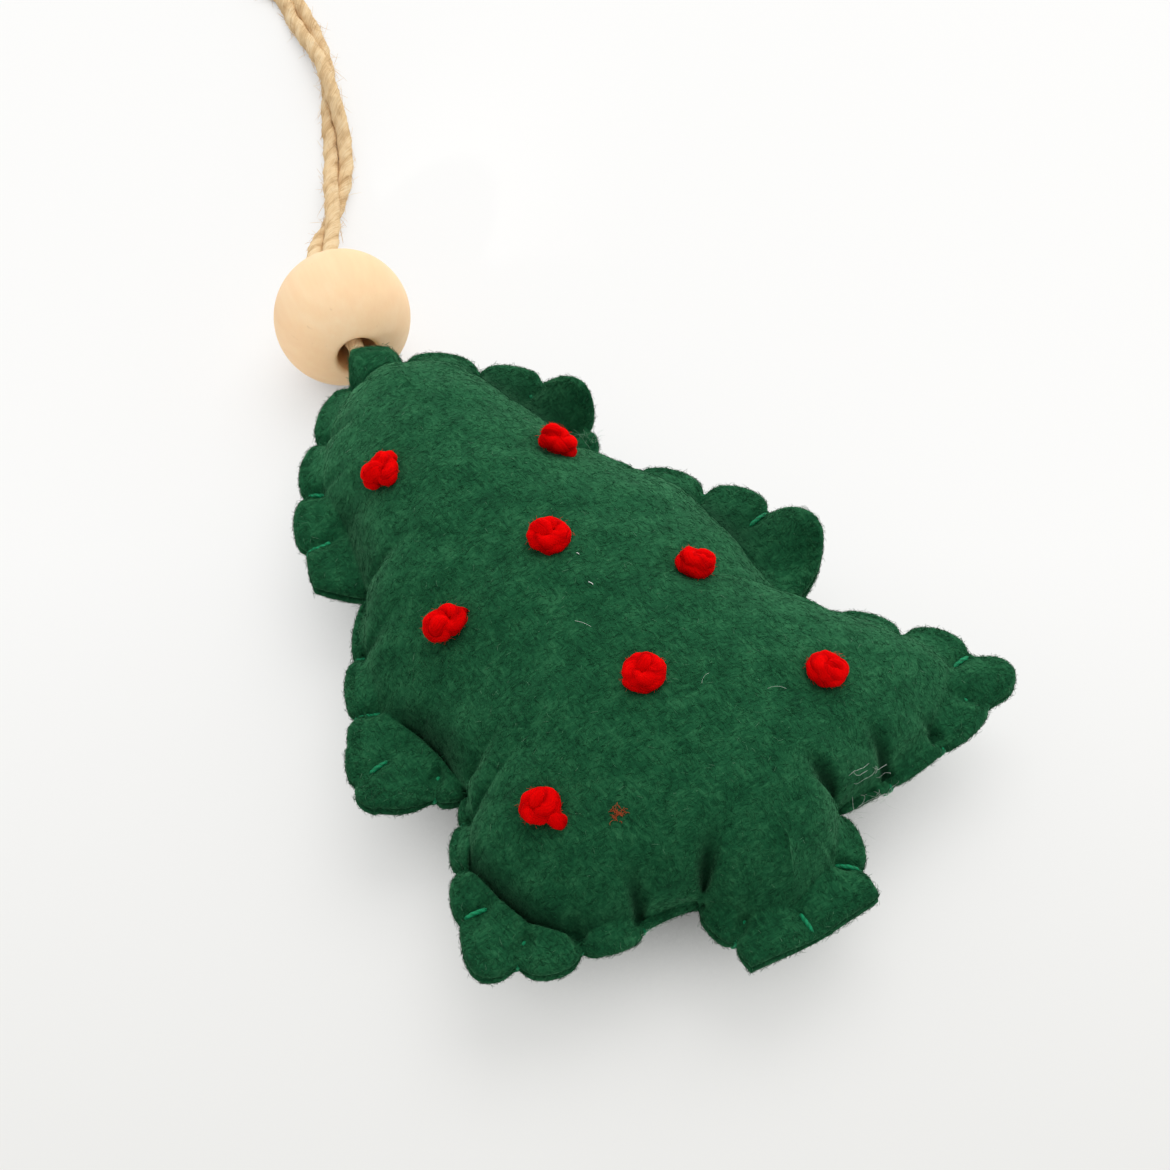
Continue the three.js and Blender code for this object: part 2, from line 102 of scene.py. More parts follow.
# Middle of the doubled twine past the bead, and how far the pair has twisted, in degrees
TWINE_ROUTE = np.array([
    (10.6, 26.4, 5.2, 20), (13.4, 29.9, 3.7, 60), (16.4, 33.9, 2.9, 100), (19.4, 38.1, 2.3, 150),
    (22.2, 42.5, 1.5, 180), (24.6, 47.1, 1.6, 200), (26.6, 51.6, 2.0, 235), (28.7, 56.2, 2.2, 270),
    (30.6, 61.1, 2.0, 300), (31.9, 66.4, 1.6, 335), (32.9, 71.6, 1.2, 360), (33.9, 76.8, 1.2, 360),
])
TWINE_END = [
    (31.9, 82.4, 1.2), (31.4, 88.0, 1.2), (32.6, 93.2, 1.2), (36.4, 96.0, 1.2),
    (40.0, 93.4, 1.2), (40.6, 88.0, 1.2), (38.0, 82.4, 1.2),
]
UP = np.array([0, 0, 1.0])
# The camera looks from the tree's lower left: the way away from it over the table, and its
# right
TURN = np.radians(33.73)
AWAY = np.array([np.sin(TURN), np.cos(TURN), 0])
RIGHT = np.array([np.cos(TURN), -np.sin(TURN), 0])


def metres(points):
    """Millimetres from the tip, as metres in the shared frame."""
    return (np.asarray(points, float) + TO_ORIGIN) * 0.001


def unit(vectors):
    """Each vector divided by its length."""
    return vectors / np.maximum(np.linalg.norm(vectors, axis=-1, keepdims=True), 1e-9)


def dot(a, b):
    """Products of matching vectors, kept as a last axis of one."""
    return np.sum(a * b, axis=-1, keepdims=True)


def ease(x, low, high):
    """0 below low, 1 above high, and s * s * (3 - 2 s) between."""
    s = np.clip((x - low) / (high - low), 0, 1)
    return s * s * (3 - 2 * s)


def bell(x, wide):
    """1 at 0, and exp(-(x / wide)^2) away from it."""
    return np.exp(-((x / wide) ** 2))


def linear(red, green, blue):
    """A colour written from 0 to 255 as a screen shows it, in linear light."""
    c = np.array([red, green, blue]) / 255
    c = np.where(c <= 0.04045, c / 12.92, ((c + 0.055) / 1.055) ** 2.4)
    return (*c.tolist(), 1.0)


# Shader maths


class Value:
    """A socket whose arithmetic adds Math nodes."""

    def __init__(self, tree, socket):
        self.tree, self.socket = tree, socket

    def math(self, operation, a, b):
        """A Math node on two values or numbers."""
        node = self.tree.nodes.new("ShaderNodeMath")
        node.operation = operation
        for slot, item in zip(node.inputs, (a, b)):
            feed(self.tree, slot, item)
        return Value(self.tree, node.outputs[0])

    def __add__(self, other):
        return self.math("ADD", self, other)

    def __sub__(self, other):
        return self.math("SUBTRACT", self, other)

    def __mul__(self, other):
        return self.math("MULTIPLY", self, other)

    def __rsub__(self, other):
        return self.math("SUBTRACT", other, self)

    __radd__ = __add__
    __rmul__ = __mul__


def feed(tree, slot, item):
    """Links a value into a slot, or sets the slot to a plain number or colour."""
    if isinstance(item, Value):
        tree.links.new(item.socket, slot)
    else:
        slot.default_value = item


class Nodes:
    """A node tree whose nodes all come from one method."""

    def __init__(self, tree):
        self.tree = tree

    def node(self, kind, settings=None, inputs=None, out=0):
        """A node of a type, its settings first, then the values or links of its sockets."""
        node = self.tree.nodes.new("ShaderNode" + kind)
        for key, value in (settings or {}).items():
            if key == "stops":
                self.stops(node.color_ramp, value)
            else:
                setattr(node, key, value)
        for key, item in (inputs or {}).items():
            feed(self.tree, node.inputs[key], item)
        return Value(self.tree, node.outputs[out])

    def along(self, vector, way):
        """How far a vector reaches along a fixed way."""
        settings = {"operation": "DOT_PRODUCT"}
        return self.node("VectorMath", settings, {0: vector, 1: way.tolist()}, out="Value")

    @staticmethod
    def stops(ramp, stops):
        """Gives a ramp its stops, each a position and a colour."""
        while len(ramp.elements) < len(stops):
            ramp.elements.new(0.5)
        for element, (position, colour) in zip(ramp.elements, stops):
            element.position = position
            element.color = colour


class Finish(Nodes):
    """A material, with the node types that the finishes below share."""

    def __init__(self, name):
        self.material = bpy.data.materials.new(name)
        self.material.use_nodes = True
        super().__init__(self.material.node_tree)
        self.shader = self.tree.nodes["Principled BSDF"]
        self.place = self.node("TexCoord", out="Object")

    def noise(self, scale, detail=2.0, roughness=0.5, vector=None, distortion=0.0):
        keys = ("Vector", "Scale", "Detail", "Roughness", "Distortion")
        values = (vector or self.place, scale, detail, roughness, distortion)
        return self.node("TexNoise", inputs=dict(zip(keys, values)))

    def stretch(self, vector, scale, turn=(0, 0, 0)):
        """Coordinates scaled and turned, so that a pattern runs one way."""
        return self.node("Mapping", inputs={"Vector": vector, "Scale": scale, "Rotation": turn})

    def ramp(self, value, stops):
        return self.node("ValToRGB", {"stops": stops}, {"Fac": value})

    def mix(self, share, a, b, blend="MIX"):
        """Colour a turned towards colour b by a share."""
        settings = {"data_type": "RGBA", "blend_type": blend}
        return self.node("Mix", settings, {0: share, 6: a, 7: b}, out=2)

    def attribute(self, name, out="Fac"):
        """Numbers or vectors that a piece carries by point."""
        return self.node("Attribute", {"attribute_name": name}, out=out)

    def bump(self, height, strength, distance):
        inputs = {"Height": height, "Strength": strength, "Distance": distance}
        return self.node("Bump", inputs=inputs)

    def done(self, **sockets):
        """Fills the shader's sockets, named with underscores for spaces."""
        for key, item in sockets.items():
            feed(self.tree, self.shader.inputs[key.replace("_", " ")], item)
        return self.material


BLACK, WHITE = (0, 0, 0, 1), (1, 1, 1, 1)


def felt_finish(name, dark, mid, light):
    """Matted wool: clumps, short streaks of fibre laid two ways, a soft nap, and painted shade
    down in its folds and creases."""
    f = Finish(name)
    cloud = f.noise(300, 3, 0.6)
    streak_a = f.noise(2600, 3, 0.6, f.stretch(f.place, (1, 0.26, 0.8), (0, 0, 0.5)), 0.8)
    streak_b = f.noise(2600, 3, 0.6, f.stretch(f.place, (0.3, 1, 0.8), (0, 0, 0.2)), 0.8)
    patch = f.ramp(f.noise(420, 2, 0.5), [(0.36, BLACK), (0.64, WHITE)])
    fibre = streak_a * patch + streak_b * (1 - patch)
    level = fibre * 0.66 + cloud * 0.34
    colour = f.ramp(level, [(0.36, dark), (0.5, mid), (0.66, light)])
    # Painted shade: the colour turns towards a near black green where the fold attribute marks
    # folds and creases
    colour = f.mix(f.attribute("fold") * 0.8, colour, linear(3, 30, 17))
    height = fibre * 0.65 + f.noise(5200, 2, 0.6) * 0.35
    return f.done(
        Base_Color=colour,
        Roughness=0.95,
        Specular_IOR_Level=0.05,
        Sheen_Weight=0.45,
        Sheen_Roughness=0.5,
        Sheen_Tint=linear(120, 185, 140),
        Normal=f.bump(height, strength=0.6, distance=0.00025),
    )


def strand_finish(name, stops, scale, bump, roughness, sheen, tint, groove_painted_shade=0.3, gloss=0.04):
    """Spun yarn: streaks that follow the lay of the plies, and painted shade down in the grooves
    between them.
    """
    f = Finish(name)
    streak = f.noise(scale, 4, 0.65, f.attribute("lay", "Vector"), 0.6)
    patch = f.noise(400, 2, 0.5)
    # Painted shade: darker where the groove attribute marks the grooves between plies
    level = streak * 0.7 + patch * 0.3 - f.attribute("groove") * groove_painted_shade + 0.08
    return f.done(
        Base_Color=f.ramp(level, stops),
        Roughness=roughness,
        Specular_IOR_Level=gloss,
        Sheen_Weight=sheen,
        Sheen_Roughness=0.4,
        Sheen_Tint=tint,
        Normal=f.bump(streak, bump, distance=0.0003),
    )


def fibre_finish(name, stops):
    """Loose fibres, each of one shade that its own number picks."""
    f = Finish(name)
    colour = f.ramp(f.attribute("shade"), stops)
    return f.done(Base_Color=colour, Roughness=0.85, Specular_IOR_Level=0.08)


def wood_finish(name):
    """Pale sanded wood: soft bands across the grain, fine streaks along it, and a few short
    pores."""
    f = Finish(name)
    axis = unit(BORE)
    turn = (0.0, float(np.arccos(axis[2])), float(np.arctan2(axis[1], axis[0])))
    grain = f.node(
        "Mapping",
        {"vector_type": "TEXTURE"},
        {"Vector": f.place, "Rotation": turn, "Location": metres(BEAD_CENTRE).tolist()},
    )
    band = f.noise(170, 2, 0.5, f.stretch(grain, (1, 0.45, 0.12)), 0.8)
    streak = f.noise(900, 4, 0.6, f.stretch(grain, (1, 1, 0.06)))
    pore = f.noise(1500, 1, 0.5, f.stretch(grain, (1, 1, 0.1)))
    tan, cream, pale = linear(248, 206, 160), linear(252, 215, 171), linear(255, 224, 184)
    wood = f.ramp(band * 0.65 + streak * 0.35, [(0.3, tan), (0.52, cream), (0.72, pale)])
    pores = f.ramp(pore, [(0.72, BLACK), (0.8, WHITE)])
    colour = f.mix(pores * 0.25, wood, linear(205, 160, 112))
    return f.done(
        Base_Color=colour,
        Roughness=0.55 + streak * 0.14,
        Specular_IOR_Level=0.25,
        Subsurface_Weight=0.15,
        Subsurface_Radius=(1.0, 0.7, 0.45),
        Subsurface_Scale=0.002,
        Normal=f.bump(streak * 0.7 + pore * 0.3, strength=0.16, distance=0.0002),
    )


# Meshes


def make_piece(name, points, faces, finish, **attributes):
    """A mesh from points in millimetres, index arrays of faces, and numbers or vectors by
    point."""
    mesh = bpy.data.meshes.new(name)
    corners = np.concatenate([f.ravel() for f in faces]).astype(np.int32)
    counts = np.concatenate([np.full(len(f), f.shape[1]) for f in faces])
    starts = (np.cumsum(counts) - counts).astype(np.int32)
    mesh.vertices.add(len(points))
    mesh.vertices.foreach_set("co", metres(points).astype(np.float32).ravel())
    mesh.loops.add(len(corners))
    mesh.loops.foreach_set("vertex_index", corners)
    mesh.polygons.add(len(counts))
    mesh.polygons.foreach_set("loop_start", starts)
    mesh.polygons.foreach_set("use_smooth", np.ones(len(counts), bool))
    for key, values in attributes.items():
        kind, field = ("FLOAT_VECTOR", "vector") if values.ndim > 1 else ("FLOAT", "value")
        layer = mesh.attributes.new(key, kind, "POINT")
        layer.data.foreach_set(field, values.astype(np.float32).ravel())
    mesh.update(calc_edges=True)
    mesh.validate()
    mesh.materials.append(finish)
    piece = bpy.data.objects.new(name, mesh)
    bpy.context.scene.collection.objects.link(piece)
    return piece


def spline(points, step):
    """A curve through points at even steps. Between two points, the cubic whose slope at each
    is half the way from the point before to the point after, then resampled by length."""
    p = np.asarray(points, float)
    p = np.concatenate([[2 * p[0] - p[1]], p, [2 * p[-1] - p[-2]]])
    a, b, c, d = (p[k : len(p) - 3 + k, None] for k in range(4))
    s = np.linspace(0, 1, 24, endpoint=False)[None, :, None]
    fine = 0.5 * (
        2 * b + (c - a) * s + (2 * a - 5 * b + 4 * c - d) * s**2 + (3 * b - a - 3 * c + d) * s**3
    )
    fine = np.concatenate([fine.reshape(-1, 3), p[-2:-1]])
    run = np.concatenate([[0], np.cumsum(np.linalg.norm(np.diff(fine, axis=0), axis=1))])
    even = np.linspace(0, run[-1], max(4, int(round(run[-1] / step)) + 1))
    return np.stack([np.interp(even, run, fine[:, k]) for k in range(3)], axis=1), even


def steady_frames(path):
    """The way along a path and two cross directions that don't spin. A fixed side vector is
    made square to the way, and the twist it gathers from point to point is summed and taken
    back out."""
    way = unit(np.gradient(path, axis=0))
    side = unit(np.cross(way, (0.31, 0.17, 0.93)))
    carried = unit(side[:-1] - dot(side[:-1], way[1:]) * way[1:])
    twist = np.arctan2(dot(np.cross(carried, side[1:]), way[1:]), dot(carried, side[1:]))
    back = -np.concatenate([[[0.0]], np.cumsum(twist, axis=0)])
    first = np.cos(back) * side + np.sin(back) * np.cross(way, side)
    return way, first, np.cross(way, first)


def sweep(path, radius, sides):
    """A section carried along a path and closed at both ends: each ring's point at angle a is
    the path's point plus radius times (cos a first + sin a second)."""
    _, first, second = steady_frames(path)
    a = np.linspace(0, 2 * np.pi, sides, endpoint=False)[None, :, None]
    round_path = np.cos(a) * first[:, None] + np.sin(a) * second[:, None]
    rings = path[:, None] + radius[..., None] * round_path
    grid = np.arange(len(path) * sides).reshape(-1, sides)
    after = np.roll(grid, -1, axis=1)
    wall = np.stack([grid[:-1], after[:-1], after[1:], grid[1:]], axis=-1).reshape(-1, 4)
    low = np.stack([np.full(sides, grid.size), after[0], grid[0]], axis=-1)
    high = np.stack([np.full(sides, grid.size + 1), grid[-1], after[-1]], axis=-1)
    points = np.concatenate([rings.reshape(-1, 3), path[:1], path[-1:]])
    return points, [wall, np.concatenate([low, high])]


def plied(name, points, step, radius, pitch, sides, finish, rough=0.03, groove=0.16, streaks=0.22):
    """Yarn along a route: a round section whose edge falls in between two plies that turn once
    a pitch. The radius is 1 - groove + groove |cos(a - turn)|^0.8 of its largest, with a little
    unevenness, and both ends are rounded off."""
    path, run = spline(points, step)
    a = np.linspace(0, 2 * np.pi, sides, endpoint=False)[None]
    turn = 2 * np.pi * run[:, None] / pitch
    ridge = np.abs(np.cos(a - turn))
    bumps = sum(
        np.sin(run[:, None] * w + a * k + f)
        for w, k, f in zip((1.3, 2.9, 5.1), (1, 2, 3), rng.uniform(0, 6.28, 3))
    )
    wide = radius * (1 - groove + groove * ridge**0.8 + rough * bumps)
    wide *= ease(run, -0.6, 0.8)[:, None] * ease(run[-1] - run, -0.6, 0.8)[:, None]
    body, faces = sweep(path, wide, sides)
    lay = np.stack([np.cos(a - turn), np.sin(a - turn), run[:, None] * streaks + 0 * a], axis=-1)
    lay = np.concatenate([lay.reshape(-1, 3), [[0, 0, 0], [0, 0, run[-1] * streaks]]])
    # How far down between the plies each point is, which the finishes use for painted shade
    between = np.concatenate([(1 - ridge).ravel(), [0, 0]])
    return make_piece(name, body, faces, finish, lay=lay, groove=between), path, run


HAIR_LOW = 0.06


def fibres(name, start, way, up, length, lift, bend, radius, shade, finish):
    """Loose hairs, each a closed three-sided spindle with a point at both ends. For s from 0 to
    1 it runs along start + length (way s + up lift (s - 0.45 s s) + side bend s s), clear of
    the table."""
    count = len(start)
    side = np.cross(way, up)
    s = np.array([0.0, 0.2, 0.5, 0.8, 1.0])[None, :, None]
    length, lift, bend, radius = (v.reshape(-1, 1, 1) for v in (length, lift, bend, radius))
    path = (
        start[:, None]
        + way[:, None] * (s * length)
        + up[:, None] * (lift * length * (s - 0.45 * s**2))
        + side[:, None] * (bend * length * s**2)
    )
    path[..., 2] = np.maximum(path[..., 2], HAIR_LOW)
    a = np.array([0, 2.094, 4.189])[None, None, :, None]
    cross = np.cos(a) * side[:, None, None] + np.sin(a) * up[:, None, None]
    taper = np.array([0.8, 1, 0.7])[None, :, None, None]
    rings = path[:, 1:4, None] + cross * radius[..., None] * taper
    points = np.concatenate([path[:, :1], rings.reshape(count, 9, 3), path[:, 4:]], axis=1)
    k = np.arange(3)
    n = (k + 1) % 3
    foot, head = np.stack([0 * k, 1 + n, 1 + k], 1), np.stack([0 * k + 10, 7 + k, 7 + n], 1)
    tri = np.concatenate([foot, head])
    quad = np.concatenate([np.stack([r + k, r + n, r + 3 + n, r + 3 + k], 1) for r in (1, 4)])
    base = (np.arange(count) * 11)[:, None, None]
    faces = [(base + tri).reshape(-1, 3), (base + quad).reshape(-1, 4)]
    piece = make_piece(name, points.reshape(-1, 3), faces, finish, shade=np.repeat(shade, 11))
    bake_cells(piece, count)
    return piece


def bake_cells(piece, count):
    """A map in which each hair has a square of its own: its stations run across and its sides
    up."""
    cells = int(np.ceil(np.sqrt(count)))
    station = np.repeat([0.1, 0.3, 0.5, 0.7, 0.9], [1, 3, 3, 3, 1])
    up = np.array([0.5, *(0.2, 0.5, 0.8) * 3, 0.5])
    hair = np.arange(count)[:, None]
    spots = np.stack([hair % cells + station, hair // cells + up], axis=-1).reshape(-1, 2) / cells
    corner = np.empty(len(piece.data.loops), np.int32)
    piece.data.loops.foreach_get("vertex_index", corner)
    layer = piece.data.uv_layers.new(name="OFBake")
    layer.data.foreach_set("uv", spots[corner].astype(np.float32).ravel())


def hairs_on(path, pick, far, scatter):
    """Starts, ways and ups of hairs at some points of a strand: out from its middle at any
    angle, lying along it one way or the other, with some scatter."""
    count = len(pick)
    way, first, second = steady_frames(path)
    a = rng.uniform(0, 2 * np.pi, (count, 1))
    out = np.cos(a) * first[pick] + np.sin(a) * second[pick]
    lie = unit(way[pick] * rng.choice([-1, 1], (count, 1)) + rng.normal(0, scatter, (count, 3)))
    return path[pick] + out * far, lie, unit(out - dot(out, lie) * lie)


# Camera and twine


def stand(data, target, offset):
    """A camera or a lamp at an offset from a point, turned to face it."""
    back = unit(offset)
    across = unit(np.cross(UP, back))
    turned = np.eye(4)
    turned[:3] = np.stack([across, np.cross(back, across), back, target + offset], axis=1)
    holder = bpy.data.objects.new(data.name, data)
    holder.matrix_world = Matrix(turned.tolist())
    bpy.context.scene.collection.objects.link(holder)
    return holder


def place_camera():
    """The photograph's view: 52 degrees above the table."""
    high, far = np.radians(52.3), 0.3803
    data = bpy.data.cameras.new("camera")
    data.lens = 92.31
    data.sensor_width = 36
    data.clip_start = 0.02
    middle = metres((9.78, -38.98, 0))
    bpy.context.scene.camera = stand(data, middle, far * (UP * np.sin(high) - AWAY * np.cos(high)))


place_camera()
LEVEL = np.cos(BEAD_TILT)
BORE = np.array([np.sin(BEAD_TURN) * LEVEL, np.cos(BEAD_TURN) * LEVEL, -np.sin(BEAD_TILT)])
PIVOT = np.array([1.266, 0.75, SEAM_Z])
BEAD_CENTRE = PIVOT + BORE * (BEAD_RADIUS + 0.35)


def twine_strand(side):
    """One strand of the pair: the middle route plus PAIR_DRAWN (cos twist right + sin twist
    up)."""
    inside = PIVOT + BORE * np.array([BREAK, 7, 14, 20.5])[:, None]
    route = np.concatenate([inside, TWINE_ROUTE[:, :3]])
    twist = np.radians(np.concatenate([[-90, -60, -30, 0], TWINE_ROUTE[:, 3]]))[:, None]
    last = len(route) - 1
    step = np.arange(last + 1)
    way = route[np.minimum(step + 1, last)] - route[np.maximum(step - 1, 0)]
    right = unit(np.stack([way[:, 1], -way[:, 0], 0 * way[:, 0]], axis=1))
    return route + side * PAIR_DRAWN * (np.cos(twist) * right + np.sin(twist) * UP)


def twine_tail(height):
    """The end of a strand sewn in between the felts, from its cut end out to the pivot."""
    back = BREAK + np.array([1, 0.66, 0.33, 0]) * (TAIL - BREAK)
    return np.stack([0 * back + PIVOT[0], PIVOT[1] - back, 0 * back + PIVOT[2] + height], axis=1)


JUTE = [
    (0.22, linear(176, 133, 84)), (0.4, linear(217, 181, 134)), (0.56, linear(240, 209, 162)),
    (0.78, linear(252, 232, 196)),
]
jute_finish = strand_finish(
    "jute", JUTE, scale=4.5, bump=0.8, roughness=0.85, sheen=0.1, tint=linear(250, 225, 180),
    groove_painted_shade=0.16,
)
twine_points = np.concatenate(
    [twine_tail(PAIR), twine_strand(-1), TWINE_END, twine_strand(1)[::-1], twine_tail(-PAIR)[::-1]]
)
twine, twine_path, twine_run = plied(
    "jute_twine", twine_points, step=0.4, radius=TWINE * 0.53, pitch=9.0, sides=24,
    finish=jute_finish, rough=0.04, groove=0.12, streaks=0.07,
)


def twine_hairs():
    """Stray jute fibres along the loop, past the bead's reach, leaning along the strand."""
    count, ends, past_bead, clear = 1500, 40, 27, 0.12
    loose = (twine_run > ends) & (twine_run < twine_run[-1] - ends)
    free = np.flatnonzero((twine_path[:, 1] > past_bead) & loose)
    pick = rng.choice(free, count)
    start, lean, up = hairs_on(twine_path, pick, far=TWINE * 0.45, scatter=0.25)
    length = rng.uniform(0.8, 3.4, count)
    lift = rng.uniform(0.0, 0.55, count) ** 1.6
    bend = rng.normal(0, 0.25, count)
    fall = (np.minimum(0, lean[:, 2]) + np.minimum(0, up[:, 2]) * lift) * length
    keep = start[:, 2] + fall > clear
    stops = [(0.0, linear(205, 165, 115)), (1.0, linear(250, 228, 190))]
    return fibres(
        "jute_hairs", start[keep], lean[keep], up[keep], length[keep], lift[keep], bend[keep],
        np.full(keep.sum(), 0.028), rng.random(keep.sum()), fibre_finish("jute_hair", stops),
    )


hairs = twine_hairs()
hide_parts("twine_loop", "twine_tail_1", "twine_tail_2")
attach(hairs, "hanger")
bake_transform(twine)


def turned_bead():
    """A ball with a straight bore: a profile (distance from the axis, place along it) spun
    round the bore. The profile runs over the ball, round each mouth's eased lip and back
    through the bore."""
    start = np.arcsin((BORE_RADIUS + BEAD_LIP) / BEAD_RADIUS)
    a = np.linspace(start, np.pi - start, 64)
    ball = np.stack([BEAD_RADIUS * np.sin(a), -BEAD_RADIUS * np.cos(a)], axis=1)
    mouth = BEAD_RADIUS * np.cos(start)
    b = np.linspace(0, np.pi / 2, 7)[1:]
    lip = np.stack([1 - np.sin(b), np.cos(b) - 1], axis=1) * BEAD_LIP + (BORE_RADIUS, mouth)
    along = np.linspace(1, -1, 11)[1:-1] * (mouth - BEAD_LIP)
    wall = np.stack([np.full(9, BORE_RADIUS), along], axis=1)
    profile = np.concatenate([ball, lip, wall, lip[::-1] * (1, -1)])
    spin = np.linspace(0, 2 * np.pi, 128, endpoint=False)[:, None, None]
    side = unit(np.cross(BORE, UP))
    out = np.cos(spin) * side + np.sin(spin) * np.cross(side, BORE)
    points = BEAD_CENTRE + profile[None, :, :1] * out + profile[None, :, 1:] * BORE
    grid = np.arange(len(spin) * len(profile)).reshape(len(spin), -1)
    turned = np.roll(grid, -1, axis=0)
    corners = [grid, turned, np.roll(turned, -1, axis=1), np.roll(grid, -1, axis=1)]
    faces = np.stack(corners, axis=-1).reshape(-1, 4)
    return make_piece("turned_bead", points.reshape(-1, 3), [faces], wood_finish("pale_wood"))


bead = turned_bead()
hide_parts("wooden_bead")
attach(bead, "bead")

# The sewn outline


def on_tree(shares):
    """Shares of the tree as millimetres from its tip."""
    return np.asarray(shares, float) * TREE


def outward(a, b):
    """The way out of the felt, square to a step from a to b."""
    step = b - a
    return unit(np.stack([step[..., 1], -step[..., 0]], axis=-1))


# How far the lobe after a stitch stands out, as a share of its chord, where it isn't LOBE
LOBE = 0.2
LOBES = {
    4: 0.1, 5: 0.16, 13: 0.3, 14: 0.24, 15: -0.03, 20: 0.03, 21: 0.06, 22: 0.16, 24: 0.3, 25: 0.22,
    28: 0.33, 29: 0.26, 30: 0.25, 33: 0.24, 34: 0.25,
}


def find_notches():
    """Each stitch's notch, and the peak of the lobe after it. Stitches stand at shares s of an
    edge, moved out by 4 bow s (1 - s). A lobe's peak is the pattern's corner, or its chord's
    middle moved out by a share of its length."""
    spots, corners, sharp = [], {}, {}
    before = on_tree(PATTERN[-1][0])
    for shares, bow, (count, first, last), sewn, cut in PATTERN:
        corner = on_tree(shares)
        out = outward(before, corner)
        for s in np.linspace(first, last, count):
            spots.append(before + (corner - before) * s + out * 4 * bow * s * (1 - s))
        if sewn:
            spots.append(corner)
        else:
            corners[len(spots) - 1], sharp[len(spots) - 1] = corner, cut
        before = corner
    spots = np.array(spots)
    after = np.roll(spots, -1, axis=0)
    chord = np.linalg.norm(after - spots, axis=1, keepdims=True)
    depth = np.array([LOBES.get(k, LOBE) for k in range(len(spots))])[:, None]
    peaks = (spots + after) / 2 + outward(spots, after) * depth * (chord - 1)
    is_corner = np.zeros(len(spots), bool)
    sharpness = np.zeros(len(spots))
    for k, corner in corners.items():
        peaks[k], is_corner[k], sharpness[k] = corner, True, sharp[k]
    return spots, peaks, is_corner, sharpness


NOTCH, PEAK, IS_CORNER, SHARP = find_notches()
COUNT = len(NOTCH)
OUT = unit(outward(np.roll(NOTCH, 1, axis=0), NOTCH) + outward(NOTCH, np.roll(NOTCH, -1, axis=0)))
HOLES = NOTCH - INSET * OUT
FOOT = int(np.argmin(NOTCH[:, 1]))
SPACING = np.linalg.norm(np.roll(HOLES, -1, axis=0) - HOLES, axis=1)


def by_stitch(usual, others):
    """A number for each stitch: the usual one, or the stitch's own."""
    values = np.full(COUNT, float(usual))
    values[list(others)] = list(others.values())
    return values


# How far the padding stays back from the stitches, which is most at the corners that are left
# flat
FLAT = by_stitch(-1.5, {
    2: -0.6, 3: 2.6, 4: -2.8, 6: 0.4, 7: 5.0, 8: 2.5, 9: -2.8, 11: -1.6, 12: 2.1, 13: 2.3, 16: -2.8,
    17: 0.2, 18: 1.2, 19: 0.2, 20: -2.6, 22: -0.4, 23: 2.4, 24: 1.2, 27: -1.6, 28: 4.4, 29: 0.4,
    31: -1.6, 32: 2.2, 33: 3.8, 34: -0.4, 35: -1.2, 0: -1.2,
})
PADS = HOLES - FLAT[:, None] * OUT
# In the tree's waists the padding presses on past the stitches, so that the swell runs through
# from tier to tier
PRESSED = PADS + by_stitch(0, {4: 7, 9: 7, 16: 7, 20: 7})[:, None] * OUT
ROUND_CORNER = 23
# How far the thread pulls the cut edge in at each stitch, and over what width. It stands out
# past a few slack ones.
PULL = by_stitch(0.3, {7: -1.5, 12: -0.1, 18: -0.3})
PULL_WIDE = by_stitch(0.6, {7: 2.8, 12: 0.8, 18: 1.2})
# How plainly each stitch's thread shows on the front, and how deep and long its crease is
SHOWN = by_stitch(0, {
    0: 0.3, 2: 0.8, 3: 0.4, 5: 0.4, 6: 0.4, 7: 1, 12: 1, 16: 0.7, 18: 0.7, 19: 1, 24: 1, 28: 1,
    31: 0.3,
})
CREASE = by_stitch(0.5, {
    0: 0.3, 4: 1, 5: 1, 9: 1, 13: 1.2, 14: 2.2, 15: 2.8, 16: 2.8, 20: 3, 21: 3, 22: 1.6, 31: 1.4,
    35: 0.3,
})
CREASE_LONG = by_stitch(2.6, {
    0: 2, 4: 2, 5: 2, 9: 1.8, 13: 2, 14: 2.2, 16: 2.8, 22: 2, 31: 2.4, 35: 2,
})
# How sharply the felt folds at the foot of the padding, and how far the shade painted beside
# that fold reaches over the flange
FOLD = by_stitch(0, {
    3: 0.5, 4: 0.4, 6: 0.3, 7: 0.9, 8: 0.9, 9: 0.2, 11: 0.8, 12: 1, 13: 1, 14: 0.6, 28: 1, 29: 0.6,
    32: 0.9, 33: 1, 34: 0.8,
})
SHADE_REACH = by_stitch(0.35, {
    3: 0.4, 4: 0.4, 11: 0.5, 12: 0.6, 13: 0.6, 14: 0.5, 28: 5, 29: 3.4, 32: 5, 33: 6, 34: 4,
})
# How far the back felt's lobe after a stitch is tucked in under the front's, and the foot of
# its padding at a stitch
TUCK = by_stitch(0, {14: 0.8, 15: 2.6, 20: 2, 21: 1.6, 22: 1})
TUCKED_FOOT = by_stitch(0, {14: 1.5, 15: 4, 16: 4, 20: 3, 21: 3, 22: 2})
# How far a lobe puffs up between its stitches, which is least where the corner is left flat
PUFF = 0.25 + 0.95 * np.clip(1 - np.maximum(FLAT, np.roll(FLAT, -1)) / 2, 0, 1)


def curl(plan):
    """Where the two curled flaps carry a place, in plan, and the height they add: a bell round
    each flap's middle, whose rise draws the felt in by two fifths of itself."""
    moved, high = plan, 0.0
    for middle, rise, spread, way in CURLS:
        up = rise * bell(np.linalg.norm(plan - on_tree(middle), axis=-1), np.sqrt(2) * spread)
        moved = moved + 0.4 * up[..., None] * np.array(way)
        high = high + up
    return moved, high


def lumps(x, y):
    """Gentle unevenness of the stuffing: a sum of plane waves, 7 to 19 mm long, in all
    directions."""
    waves, shortest, longest = 14, 7.0, 19.0
    turn = rng.uniform(0, 2 * np.pi, waves)
    fast = 2 * np.pi / rng.uniform(shortest, longest, waves)
    start = rng.uniform(0, 2 * np.pi, waves)
    way = zip(fast, np.cos(turn), np.sin(turn), start)
    return sum(np.sin(w * (x * c + y * s) + f) for w, c, s, f in way) / np.sqrt(waves)


